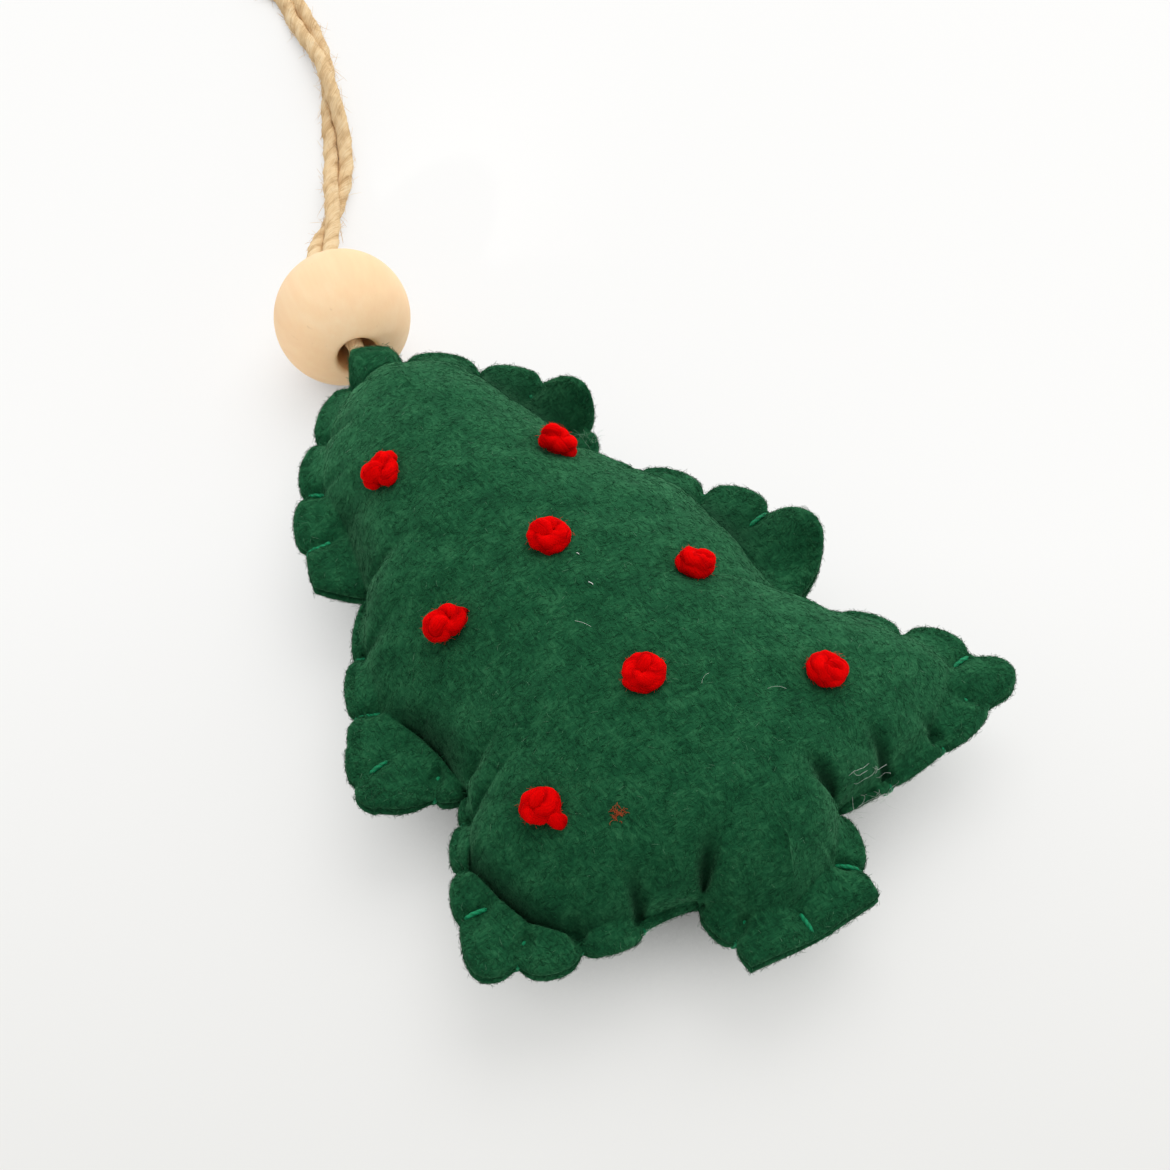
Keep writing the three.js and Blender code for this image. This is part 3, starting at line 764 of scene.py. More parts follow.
# Columns along each half of the edge, and rows in over the cut edge, the flange and the swell
COLUMNS = 420
RIM_ROWS = 8
FLANGE_ROWS = 14
DOME_ROWS = 46
ROWS = RIM_ROWS + FLANGE_ROWS + DOME_ROWS


def outline_columns():
    """Places along the edge for both halves of a felt. A place is a stitch's number plus the
    share of the way to the next. Both halves use the same shares of the way from tip to foot,
    so that they meet on the spine."""
    run = np.concatenate([[0], np.cumsum(SPACING)])
    tip = (run[COUNT - 1] + run[COUNT]) / 2
    left = np.concatenate([[-0.5], np.arange(FOOT + 1)])
    left_run = np.concatenate([[tip - run[COUNT]], run[: FOOT + 1]])
    right = np.concatenate([[COUNT - 0.5], np.arange(COUNT - 1, FOOT - 1, -1)])
    right_run = np.concatenate([[tip], run[COUNT - 1 : FOOT - 1 : -1]])
    u = np.linspace(0, 1, COLUMNS + 1)
    places = [
        np.interp(u, np.abs(r - r[0]) / np.abs(r[-1] - r[0]), p)
        for p, r in ((left, left_run), (right, right_run))
    ]
    return u, np.stack(places)


# At each column: the stitch before it and the one after, its share of the way between them and
# its distance from the nearer one, and an arch that is 0 at a stitch and 1 halfway
SHARE, PLACE = outline_columns()
STITCH = np.floor(PLACE).astype(int) % COUNT
AFTER = (STITCH + 1) % COUNT
S = PLACE - np.floor(PLACE)
S1 = S[..., None]
NEAR = np.where(S < 0.5, STITCH, AFTER)
SIDEWAYS = np.minimum(S, 1 - S) * SPACING[STITCH]
ARCH = 4 * S * (1 - S)
TIP_LOBE = STITCH == COUNT - 1


def along_edge(values):
    """Numbers or vectors by stitch, straight from each stitch to the next along the edge."""
    s = S if values.ndim == 1 else S1
    return values[STITCH] * (1 - s) + values[AFTER] * s


OUT_HERE = unit(along_edge(OUT))


def tip_tab(a, b):
    """The square tab at the tip: straight cuts from notch a by two corners to notch b, eased a
    third of the way to a cubic that bends towards the same corners."""
    eased = 0.35
    right, left = TIP_CORNERS
    up, over, down = (ease(S1, low, low + 1 / 3) for low in (0, 1 / 3, 2 / 3))
    cuts = a + (right - a) * up + (left - right) * over + (b - left) * down
    r = 1 - S1
    ends = r**3 * a + S1**3 * b
    rounded = ends + 3 * r * S1 * (r * (2 * right - a) + S1 * (2 * left - b))
    return (1 - eased) * cuts + eased * rounded


def edge_line():
    """The cut edge. A plain lobe is its chord plus (4 s (1 - s))^0.66 of its peak's height. A
    corner's lobe is (4 s (1 - s))^0.8 of its peak, or ^0.5 at the round one, drawn towards two
    straight cuts by its sharpness, and the tip's is a square tab. Each notch is pulled in by
    its thread."""
    a, b, peak = NOTCH[STITCH], NOTCH[AFTER], PEAK[STITCH]
    is_corner = IS_CORNER[STITCH]
    full = np.where(is_corner, np.where(STITCH == ROUND_CORNER, 0.5, 0.8), 0.66)
    lobe = along_edge(NOTCH) + (peak - (a + b) / 2) * (ARCH**full)[..., None]
    cuts = np.where(S1 < 0.5, a + (peak - a) * 2 * S1, peak + (b - peak) * (2 * S1 - 1))
    line = lobe + (cuts - lobe) * SHARP[STITCH][..., None]
    line = np.where(TIP_LOBE[..., None], tip_tab(a, b), line)
    pull = PULL[NEAR] * bell(SIDEWAYS, PULL_WIDE[NEAR])
    return line - OUT_HERE * pull[..., None]


EDGE = edge_line()
DOME_FOOT = along_edge(PADS)
SPINE_Y = SPINE_TOP + (SPINE_BOTTOM - SPINE_TOP) * SHARE
SPINE = on_tree(np.stack([np.full(COLUMNS + 1, SPINE_X), SPINE_Y], axis=-1))
# The field over the tree on which the swell is worked out
FIELD_LOW = np.array([-44.0, -108.0])
FIELD_SIZE = np.array([88, 112])
FIELD_CELL = 0.5


def inside_padding(x, y):
    """Whether each place is over the padding: a ray to its right crosses an odd number of
    edges."""
    hit = np.zeros(x.shape, bool)
    for (ax, ay), (bx, by) in zip(PRESSED, np.roll(PRESSED, -1, axis=0)):
        crosses = (ay > y) != (by > y)
        hit ^= crosses & (x < (bx - ax) * (y - ay) / (by - ay + 1e-12) + ax)
    return hit


def blown_sheet():
    """A sheet held round the padding and blown up: every cell is the mean of its four
    neighbours plus a push by area, settled on a coarse grid first and then on finer ones."""
    coarsest, passes = 4.0, 500
    field = np.zeros((FIELD_SIZE / coarsest).astype(int))
    for cell in (coarsest, 2.0, 1.0, FIELD_CELL):
        nx, ny = (FIELD_SIZE / cell).astype(int)
        field = np.repeat(np.repeat(field, nx // len(field), 0), ny // field.shape[1], 1)
        x = FIELD_LOW[0] + (np.arange(nx)[:, None] + 0.5) * cell
        y = FIELD_LOW[1] + (np.arange(ny)[None] + 0.5) * cell
        held = inside_padding(x + 0 * y, y + 0 * x)[1:-1, 1:-1]
        for _ in range(passes):
            around = field[2:, 1:-1] + field[:-2, 1:-1] + field[1:-1, 2:] + field[1:-1, :-2]
            field[1:-1, 1:-1] = held * (0.25 * around + cell**2 / 4)
    return field


SHEET = blown_sheet()


def sheet_at(plan):
    """The blown sheet between its four nearest cells."""
    spot = np.clip((plan - FIELD_LOW) / FIELD_CELL - 0.5, 0, np.array(SHEET.shape) - 1.001)
    i, j = np.moveaxis(np.floor(spot).astype(int), -1, 0)
    f, g = np.moveaxis(spot - np.floor(spot), -1, 0)
    low = SHEET[i, j] * (1 - f) + SHEET[i + 1, j] * f
    return low * (1 - g) + (SHEET[i, j + 1] * (1 - f) + SHEET[i + 1, j + 1] * f) * g


def ridge_line():
    """The y of each row of the field, and the sheet's highest value there, evened out along the
    spine over about 6 mm."""
    spread = 6.0
    y = FIELD_LOW[1] + (np.arange(SHEET.shape[1]) + 0.5) * FIELD_CELL
    spine = (y < SPINE_TOP * TREE[1]) & (y > SPINE_BOTTOM * TREE[1])
    weight = bell(y[:, None] - y[spine], np.sqrt(2) * spread)
    return y, weight @ SHEET.max(axis=0)[spine] / weight.sum(axis=1)


RIDGE_Y, RIDGE = ridge_line()


def even_out(values, passes):
    """Values by half, column and row, evened along the outline: both halves make one ring of
    columns, and a pass moves each column half the way to the mean of the two beside it."""
    count = values.shape[1]
    ring = np.concatenate([values[0], values[1, -2:0:-1]])
    for _ in range(passes):
        ring = ring + 0.25 * (np.roll(ring, 1, axis=0) + np.roll(ring, -1, axis=0) - 2 * ring)
    return np.stack([ring[:count], np.concatenate([ring[:1], ring[: count - 2 : -1]])])


def dome_height(side, plan, deep):
    """The stuffed swell: loft (ridge / highest ridge)^0.3 (sheet / ridge)^steep, evened along
    the outline. The front rises more steeply on the right than on the left or in the trunk, and
    the back more gently than most of it. In the first 2 mm from its foot the sheet is taken as
    straight."""
    loft = FRONT_LOFT if side > 0 else BACK_LOFT
    x, y = np.moveaxis(plan, -1, 0)
    steep = 0.56 - 0.1 * np.tanh((x + 4) / 8) + 0.3 * ease(-y, 82, 96) if side > 0 else 0.7
    straight = 2.0
    foot = plan[:, :, :1]
    near = sheet_at(foot + straight * unit(plan[:, :, -1:] - foot)) * deep / straight
    sheet = np.where(deep < straight, near, sheet_at(plan))
    ridge = np.interp(plan[..., 1], RIDGE_Y, RIDGE)
    return even_out(loft * (ridge / RIDGE.max()) ** 0.3 * (sheet / ridge) ** steep, passes=250)


# Each row's share of the way over the swell, closer together near its foot, and what is left of
# that way
T = np.linspace(0, 1, DOME_ROWS + 1)[1:] ** 1.35
FADE = np.concatenate([np.ones(RIM_ROWS + FLANGE_ROWS), 1 - T])
TIP_OPEN = PAIR + TWINE / 2 + 0.2
SEAM_GAP = 0.08
ON_TABLE = 0.02


def creases(plan):
    """Depth of the folds that run in from the stitches: the deepest of bells across each fold,
    times a fall along it."""
    depth = np.zeros(plan.shape[:-1])
    for notch, out, deep, long in zip(NOTCH, OUT, CREASE, CREASE_LONG):
        step = notch - 1.2 * out - plan
        inward = np.maximum(step @ out, 0)
        across = step[..., 0] * out[1] - step[..., 1] * out[0]
        fold = bell(across, 0.7 + 0.1 * inward) * bell(inward, long)
        depth = np.maximum(depth, deep * fold * ease(step @ out, -1.0, 0.4))
    return depth


def felt_face(side):
    """The outer face of one felt as a grid (half, column, row), the height of the seam's
    middle, and how much painted shade each point takes in a fold or crease: up round the rolled
    cut edge, across the flange to the padding, and over the swell to the spine. Folds run in from
    the stitches, the felt puffs up between them, and it dips under each knot."""
    edge, foot = EDGE, DOME_FOOT
    if side < 0:
        edge = edge - OUT_HERE * (TUCK[STITCH] * ARCH)[..., None]
        foot = foot - OUT_HERE * along_edge(TUCKED_FOOT)[..., None]
    inward = unit(foot - edge)[:, :, None]
    wide = np.linalg.norm(foot - edge, axis=-1)[..., None]
    edge, foot = edge[:, :, None], foot[:, :, None]

    # The cut edge is rolled, and thinner where a stitch pinches it
    roll, pinched, pinch_wide = 0.8, 0.45, 0.8
    pinch = pinched * bell(SIDEWAYS, pinch_wide)[..., None]
    a = np.radians(np.linspace(-50, 90, RIM_ROWS))
    rim = edge + inward * (roll * (1 - np.cos(a)))[:, None]
    rim_z = FELT * (1 - pinch) * (0.45 + 0.55 * np.sin(a))

    # The flange puffs up between the stitches
    f = 1 - (1 - np.linspace(0, 1, FLANGE_ROWS + 1)[1:]) ** 1.4
    reach = roll + f * (wide - roll)
    flange = edge + inward * reach[..., None]
    near_edge = 1 - ease(reach, INSET, INSET + 1.5)
    puff = (PUFF[STITCH] * ARCH**0.8)[..., None]
    flange_z = FELT * (1 - pinch * near_edge) + puff * np.sin(np.pi / 2 * f) ** 0.9

    # The swell takes over from the flange in its first few millimetres
    dome = foot + (SPINE[None, :, None] - foot) * T[:, None]
    deep = np.linalg.norm(dome - foot, axis=-1)
    fall = bell(deep, 2.2)
    dome_z = flange_z[..., -1:] * fall + FELT * (1 - fall) + dome_height(side, dome, deep)

    # A fold at the padding's foot: a lip on the flange, a drop on both sides, and painted shade
    # beside it
    fold, shade_reach = (along_edge(v)[..., None] for v in (FOLD, SHADE_REACH))
    left = wide * (1 - f)
    flange_z = flange_z + fold * (0.8 * bell(left - 0.4, 1.5) - 1.5 * bell(left, 0.28))
    dome_z = dome_z - 0.9 * fold * bell(deep, 0.4)
    shade = [np.zeros(rim.shape[:3]), fold * bell(left, shade_reach), fold * bell(deep, 1.5)]
    dark = np.concatenate(shade, axis=2)
    plan = np.concatenate([rim, flange, dome], axis=2)
    z = np.concatenate([np.broadcast_to(rim_z, rim.shape[:3]), flange_z, dome_z], axis=2)
    thinnest = 0.4
    z[..., RIM_ROWS:] = np.maximum(z[..., RIM_ROWS:], thinnest)

    # Heights are evened out from row to row, except where the felt folds
    passes, share = 80, 0.25 * (1 - ease(fold, 0, 0.7))
    rows = z[..., RIM_ROWS - 1 :]
    for _ in range(passes):
        beside = rows[..., :-2] + rows[..., 2:]
        rows[..., 1:-1] = rows[..., 1:-1] + share * (beside - 2 * rows[..., 1:-1])
    z[..., -1] = z[..., -2].mean(axis=0)

    # Creases run in from the stitches, lumps grow in with the height, and each knot pulls in a
    # dip
    crease = creases(plan)
    crease[..., : RIM_ROWS + 2] = 0
    z = z - np.minimum(crease, np.maximum(z - 0.7, 0))
    # Painted shade down in the creases, full where a crease is 2 mm deep
    dark = np.maximum(dark, np.clip(crease / 2, 0, 1))
    lump, full_height = 0.22, 4
    rise = np.clip(z - FELT, 0, full_height) / full_height
    z = z + lump * rise * lumps(plan[..., 0], plan[..., 1])
    dip, dip_wide = 0.6, 2.6
    for spot in KNOTS if side > 0 else []:
        z = z - dip * bell(np.linalg.norm(plan - on_tree(spot), axis=-1), dip_wide)

    # The tip opens for the twine, and the two flaps curl up
    opening = TIP_OPEN + (0.2 if side > 0 else 0)
    opened = opening * np.where(TIP_LOBE, ARCH, 0)[..., None] ** 0.9 * FADE**5
    z = np.maximum(z, opened + np.minimum(z, FELT + 0.4))
    moved, high = curl(plan)
    middle = SEAM_Z + high * FADE
    z = middle + side * (SEAM_GAP + z)
    if side < 0:
        z = np.maximum(z, ON_TABLE)
    plan = plan + (moved - plan) * FADE[:, None]
    return np.concatenate([plan, z[..., None]], axis=-1), middle, dark


def face_normals(face):
    """Square to both ways of each half's grid, up for the front."""
    cross = np.cross(np.gradient(face, axis=1), np.gradient(face, axis=2))
    return unit(cross * np.array([1, -1])[:, None, None, None])


def sewn_grid(shape):
    """A closed bag of two halves, each a grid (column, row), that share the tip's and the
    foot's column and the first and the last row. Gives the points in use, each place's number
    among them, and the faces, which look out when the front is in the last rows."""
    index = np.arange(np.prod(shape)).reshape(shape)
    index[1, [0, -1]] = index[0, [0, -1]]
    index[1, :, [0, -1]] = index[0, :, [0, -1]]
    used, index = np.unique(index, return_inverse=True)
    index = index.reshape(shape)
    corners = [index[:, :-1, :-1], index[:, 1:, :-1], index[:, 1:, 1:], index[:, :-1, 1:]]
    first, second = np.stack(corners, axis=-1).reshape(2, -1, 4)
    return used, index, [first, second[:, ::-1]]


def blow_up(points, quads, held):
    """Where Cloth carries a closed bag's points in twenty steps under pressure, without
    gravity, while the held ones stay. A millimetre is taken as 0.01 m there."""
    size, steps = 0.01, 20
    mesh = bpy.data.meshes.new("bag")
    mesh.from_pydata((points * size).tolist(), [], np.concatenate(quads).tolist())
    bag = bpy.data.objects.new("bag", mesh)
    view = bpy.context.scene
    view.collection.objects.link(bag)
    bag.vertex_groups.new(name="sewn").add(np.flatnonzero(held).tolist(), 1.0, "REPLACE")
    cloth = bag.modifiers.new("cloth", "CLOTH")
    cloth.collision_settings.use_collision = False
    felt = cloth.settings
    felt.quality = 6
    felt.tension_stiffness = felt.compression_stiffness = 5.0
    felt.shear_stiffness = 8.0
    felt.bending_stiffness = 2.0
    felt.air_damping = 2.0
    felt.vertex_group_mass = "sewn"
    felt.use_pressure = True
    felt.uniform_pressure_force = 4.0
    felt.effector_weights.gravity = 0.0
    for step in range(steps):
        view.frame_set(1 + step)
    blown = bag.evaluated_get(bpy.context.evaluated_depsgraph_get()).data
    spots = np.empty(len(points) * 3, np.float32)
    blown.vertices.foreach_get("co", spots)
    bpy.data.objects.remove(bag)
    bpy.data.meshes.remove(mesh)
    view.frame_set(1)
    return spots.reshape(-1, 3) / size


def between(coarse, every, first, count, axis):
    """Values at each of count places along an axis, straight between those that stand every so
    many."""
    at = np.maximum(np.arange(count) - first, 0) / every
    low = np.minimum(at.astype(int), coarse.shape[axis] - 2)
    share = (at - low).reshape([-1 if k == axis else 1 for k in range(coarse.ndim)])
    return np.take(coarse, low, axis) * (1 - share) + np.take(coarse, low + 1, axis) * share


def settle(front_face, back_face):
    """How far the felts swell against their seam, for each point of both faces: a coarse bag of
    the two, held round the flange, is blown up, and no point goes further than a limit."""
    limit = 1.2
    every_column, every_row, first = 6, 3, RIM_ROWS + FLANGE_ROWS - 6
    top, low = (face[:, ::every_column, first::every_row] for face in (front_face, back_face))
    bag = np.concatenate([low[:, :, ::-1], top], axis=2)
    used, index, quads = sewn_grid(bag.shape[:3])
    count = top.shape[2]
    row = first + every_row * np.arange(count)
    held = np.concatenate([row[::-1], row]) < RIM_ROWS + FLANGE_ROWS
    points = bag.reshape(-1, 3)[used]
    moved = blow_up(points, quads, np.broadcast_to(held, bag.shape[:3]).ravel()[used]) - points
    far = np.linalg.norm(moved, axis=-1, keepdims=True)
    moved = (moved * np.minimum(1, limit / np.maximum(far, 1e-6)))[index]
    fine = []
    for part in (moved[:, :, count:], moved[:, :, count - 1 :: -1]):
        part = between(between(part, every_column, 0, COLUMNS + 1, 1), every_row, first, ROWS, 2)
        fine.append(even_out(part, passes=24))
    return fine


def inside(face, side, rows, depth, steepest, gap):
    """Some rows of a face, straight below or above it by a depth square to it, and no nearer to
    the seam's middle than a gap."""
    body = face[:, :, rows].copy()
    inset = depth / np.maximum(np.abs(face_normals(face)[:, :, rows, 2]), steepest)
    middle = seam_middle[:, :, rows]
    body[..., 2] = middle + side * np.maximum(side * (body[..., 2] - middle) - inset, gap)
    return body


def felt_shell(name, face, side, dark, finish):
    """One felt, closed: its outer face, and an inner face that starts under the rolled edge and
    follows the outer one a felt's thickness inside it."""
    lowest = 0.9
    rows = np.unique([*range(RIM_ROWS + 3, ROWS, 6), ROWS - 1])
    inner = inside(face, side, rows, depth=FELT, steepest=0.5, gap=SEAM_GAP)
    if side < 0:
        inner[..., 2] = np.maximum(inner[..., 2], lowest)
    both = np.concatenate([inner[:, :, ::-1], face], axis=2)
    # The painted shade of folds and creases rides on the outer face as the attribute fold; the
    # inner face gets none
    fold = np.concatenate([np.zeros(inner.shape[:3]), dark], axis=2)
    used, _, quads = sewn_grid(both.shape[:3])
    quads = [q[:, ::side] for q in quads]
    return make_piece(name, both.reshape(-1, 3)[used], quads, finish, fold=fold.ravel()[used])


GREEN = (linear(12, 59, 36), linear(25, 84, 52), linear(47, 109, 71))
front_face, seam_middle, front_painted_shade = felt_face(1)
back_face, _, back_painted_shade = felt_face(-1)
front_swell, back_swell = settle(front_face, back_face)
front_face += front_swell * (1 - front_painted_shade[..., None])
back_face += back_swell * (1 - back_painted_shade[..., None])
back_face[..., 2] = np.maximum(back_face[..., 2], ON_TABLE)
front_side, back_side = (front_face, 1, front_painted_shade), (back_face, -1, back_painted_shade)
front = felt_shell("felt_front", *front_side, felt_finish("front_felt", *GREEN))
back = felt_shell("felt_back", *back_side, felt_finish("back_felt", *GREEN))


def nap(name, face, side, dark, count, length, lift, rows=slice(None)):
    """Fibres over some rows of a felt, spread evenly by area: each lies on the face in a
    direction of its own, and takes painted shade down in a fold or crease."""
    clear = 0.08
    face = face[:, :, rows]
    normals = face_normals(face) * side
    along = face[:, 1:, :-1] - face[:, :-1, :-1]
    across = face[:, :-1, 1:] - face[:, :-1, :-1]
    area = np.linalg.norm(np.cross(along, across), axis=-1)
    pick = rng.choice(area.size, count, p=(area / area.sum()).ravel())
    cell = np.unravel_index(pick, area.shape)
    start = face[cell] + along[cell] * rng.random((count, 1))
    start = start + across[cell] * rng.random((count, 1))
    up = normals[cell]
    way = rng.normal(0, 1, (count, 3))
    way = unit(way - dot(way, up) * up)
    long = length[0] + (length[1] - length[0]) * rng.random(count) ** 1.6
    start = start + up * rng.uniform(-0.03, 0.05, (count, 1)) - way * (0.4 * long)[:, None]
    raised = lift[0] + (lift[1] - lift[0]) * rng.random(count) ** 2.2
    bend = rng.normal(0, 0.28, count)
    thin = rng.uniform(0.018, 0.028, count)
    drop = np.minimum(0, way[:, 2] * long) + np.minimum(0, up[:, 2] * raised * long)
    ok = start[:, 2] + drop > clear
    # Painted shade: each fibre's shade is darker down in a fold or crease
    shade = rng.random(count) * (1 - 0.8 * dark[:, :, rows][cell])
    hair = (start, way, up, long, raised, bend, thin, shade)
    return fibres(name, *(values[ok] for values in hair), nap_finish)


NAP = [
    (0.0, linear(14, 63, 38)), (0.3, linear(22, 79, 49)), (0.6, linear(34, 96, 61)),
    (0.97, linear(52, 116, 77)), (1.0, linear(110, 158, 126)),
]
nap_finish = fibre_finish("felt_nap", NAP)
naps = [
    nap(f"felt_nap_{name}_{k}", *side, count=11000, length=(0.3, 1.2), lift=(0.0, 0.4))
    for name, side, layers in (("front", front_side, 4), ("back", back_side, 2))
    for k in range(1, layers + 1)
]
at_edge = slice(0, RIM_ROWS + 2)
naps += [
    nap(f"felt_edge_{name}", *side, 9000, length=(0.3, 1.0), lift=(0.2, 1.0), rows=at_edge)
    for name, side in (("front", front_side), ("back", back_side))
]


def stuffing_body():
    """The filling: the outer faces drawn in by a felt and a gap, joined along the stitches."""
    rows = slice(RIM_ROWS + FLANGE_ROWS + 4, ROWS, 3)
    top, low = (
        inside(face, side, rows, depth=FELT + 0.4, steepest=0.35, gap=0.15)[:, ::4]
        for face, side in ((front_face, 1), (back_face, -1))
    )
    both = np.concatenate([low[:, :, ::-1], top], axis=2)
    used, _, quads = sewn_grid(both.shape[:3])
    f = Finish("filling")
    puff = f.noise(500, 4, 0.65)
    colour = f.ramp(puff, [(0.3, linear(222, 220, 212)), (0.7, linear(248, 247, 243))])
    rough = f.bump(puff, strength=0.6, distance=0.0008)
    finish = f.done(Base_Color=colour, Roughness=1.0, Normal=rough)
    return make_piece("filling", both.reshape(-1, 3)[used], quads, finish)


filling = stuffing_body()


def seam_thread():
    """One thread: up through each hole, out over the pinched edge, round it, and along the back
    to the next hole. Where it is drawn in tight it sinks into the felt."""
    squeezed = SEAM_GAP + FELT * 0.58
    over = squeezed - 0.4 + 0.52 * SHOWN
    under = -squeezed - 0.35
    goal = np.roll(HOLES, -1, axis=0)
    turned = NOTCH - 0.9 * OUT
    steps = [
        (HOLES, -squeezed),
        (HOLES, squeezed - 0.1),
        (HOLES + OUT * 0.5, over),
        (HOLES + OUT * 1.9, over),
        (HOLES + OUT * 2.72, 0.3),
        (HOLES + OUT * 2.72, -0.3),
        (turned, under),
        (goal - 0.8 * unit(goal - turned), under),
    ]
    routes = []
    for plan, height in steps:
        moved, high = curl(plan)
        routes.append(np.column_stack([moved, SEAM_Z + high + height]))
    points = np.stack(routes, axis=1).reshape(-1, 3)[:-2]
    stops = [
        (0.2, linear(0, 80, 50)), (0.42, linear(0, 132, 84)), (0.66, linear(16, 164, 108)),
        (0.9, linear(84, 198, 150)),
    ]
    finish = strand_finish(
        "emerald_thread", stops, scale=6.0, bump=0.5, roughness=0.5, sheen=0.2,
        tint=linear(120, 220, 170), groove_painted_shade=0.3, gloss=0.25,
    )
    return plied(
        "stitched_thread", points, step=0.16, radius=0.28, pitch=1.6, sides=10, finish=finish
    )[0]


thread = seam_thread()
front_normals = face_normals(front_face)


def surface_at(place):
    """The front felt's point nearest to a place in plan, and its normal there."""
    far = np.sum((front_face[..., :2] - place) ** 2, axis=-1)
    spot = np.unravel_index(np.argmin(far), far.shape)
    return front_face[spot], unit(front_normals[spot] + 0.001 * UP)


# Stray fibres: place in plan, count, spread, length, thickness, shade, way, and how much they
# curl
STRAYS = [
    ((13.2, -91.2), 30, 2.0, 5.0, 0.015, 0.95, (0.7, -0.6), 1.0),
    ((16.6, -91.4), 14, 1.6, 3.8, 0.014, 0.95, (0.6, -0.7), 1.0),
    ((-15.2, -91.6), 12, 1.4, 3.0, 0.01, 0.95, (0.1, -1.0), 0.9),
    ((17.8, -28.3), 16, 1.0, 2.8, 0.011, 0.74, (0.7, 0.3), 0.8),
    ((-31.5, -58.0), 10, 1.2, 3.8, 0.01, 0.4, (-1.0, -0.4), 1.0),
    ((-4.9, -58.6), 1, 0.0, 4.0, 0.02, 0.92, (0.75, -0.65), 0.0),
    ((9.0, -78.1), 1, 0.0, 2.4, 0.018, 0.85, (0.9, 0.5), 0.2),
    ((2.2, -73.9), 1, 0.0, 1.8, 0.018, 0.8, (0.6, 0.8), 0.2),
    ((0.9, -50.6), 1, 0.0, 0.4, 0.06, 1.0, (0.7, -0.6), 0.0),
    ((-0.6, -55.1), 1, 0.0, 0.7, 0.06, 1.0, (0.8, -0.6), 0.0),
    ((-14.2, -81.8), 34, 0.55, 1.2, 0.035, 0.0, (0.5, 0.85), 0.6),
]


def stray_fibres():
    """Wisps of filling caught in the seam, a few pale hairs and specks, and one russet fleck.
    Each is a thin tube through steps that turn a little at random, in the felt's plane more
    than out of it."""
    bits = 7
    points, walls, ends, shades, total = [], [], [], [], 0
    for place, count, spread, length, thick, shade, way, curl_up in STRAYS:
        for _ in range(count):
            start, up = surface_at(np.array(place) + rng.normal(0, 0.6, 2) * spread)
            first = np.arctan2(way[1], way[0]) + rng.normal(0, 0.9) * curl_up
            bend = rng.normal(0, 0.3) * curl_up if count > 1 else -0.14
            heading = first + np.cumsum(np.full(bits, bend) + rng.normal(0, 0.22, bits) * curl_up)
            size = length * (rng.uniform(0.35, 1.0) if count > 1 else 1) / bits
            climb = rng.normal(0.06, 0.3, bits) * curl_up
            steps = np.stack([np.cos(heading), np.sin(heading), climb], axis=1) * size
            steps = steps - dot(steps, up) * up * 0.7
            route = np.concatenate([[[0, 0, 0]], np.cumsum(steps, axis=0)])
            path = spline(start + up * (0.06 + thick) + route, 0.2)[0]
            body, (wall, end) = sweep(path, np.full((len(path), 4), thick), 4)
            points.append(body)
            walls.append(wall + total)
            ends.append(end + total)
            shades.append(np.full(len(body), np.clip(shade + rng.uniform(-0.08, 0.05), 0, 1)))
            total += len(body)
    stops = [
        (0.0, linear(168, 78, 44)), (0.2, linear(120, 62, 38)), (0.35, linear(30, 80, 52)),
        (0.7, linear(150, 190, 160)), (0.95, linear(236, 240, 234)),
    ]
    points, *faces, shades = (np.concatenate(v) for v in (points, walls, ends, shades))
    finish = fibre_finish("stray_fibre", stops)
    return make_piece("stray_fibres", points, faces, finish, shade=shades)


strays = stray_fibres()

# Each knot's own winding: turns, ring's radius, flatness, lobes' depth and number, start, lean
# and tail
WINDINGS = [
    (1.4, 1.5, 0.7, 0.38, 3, 4.2, 0.2, 0.9),
    (1.6, 1.45, 0.85, 0.26, 3, 2.4, 0.2, 0.3),
    (1.7, 1.65, 0.65, 0.14, 2, 1.1, 0.15, 0.0),
    (1.6, 1.35, 1.0, 0.2, 2, 5.2, 0.3, 0.3),
    (1.6, 1.55, 0.75, 0.3, 2, 3.3, 0.2, 0.2),
    (1.6, 1.7, 0.6, 0.08, 2, 0.2, 0.1, 0.0),
    (1.7, 1.6, 0.7, 0.14, 2, 4.1, 0.15, 0.0),
    (1.3, 1.5, 0.6, 0.08, 2, 2.0, 0.1, 1.2),
]
RED = [
    (0.15, linear(160, 0, 2)), (0.4, linear(222, 1, 3)), (0.6, linear(244, 2, 3)),
    (0.85, linear(255, 22, 16)),
]
yarn_finish = strand_finish(
    "red_yarn", RED, scale=5.0, bump=0.6, roughness=0.9, sheen=0.0, tint=linear(255, 60, 50),
    groove_painted_shade=0.3, gloss=0.02,
)
fuzz_finish = fibre_finish("red_fuzz", [(0.0, linear(210, 0, 2)), (1.0, linear(252, 8, 6))])


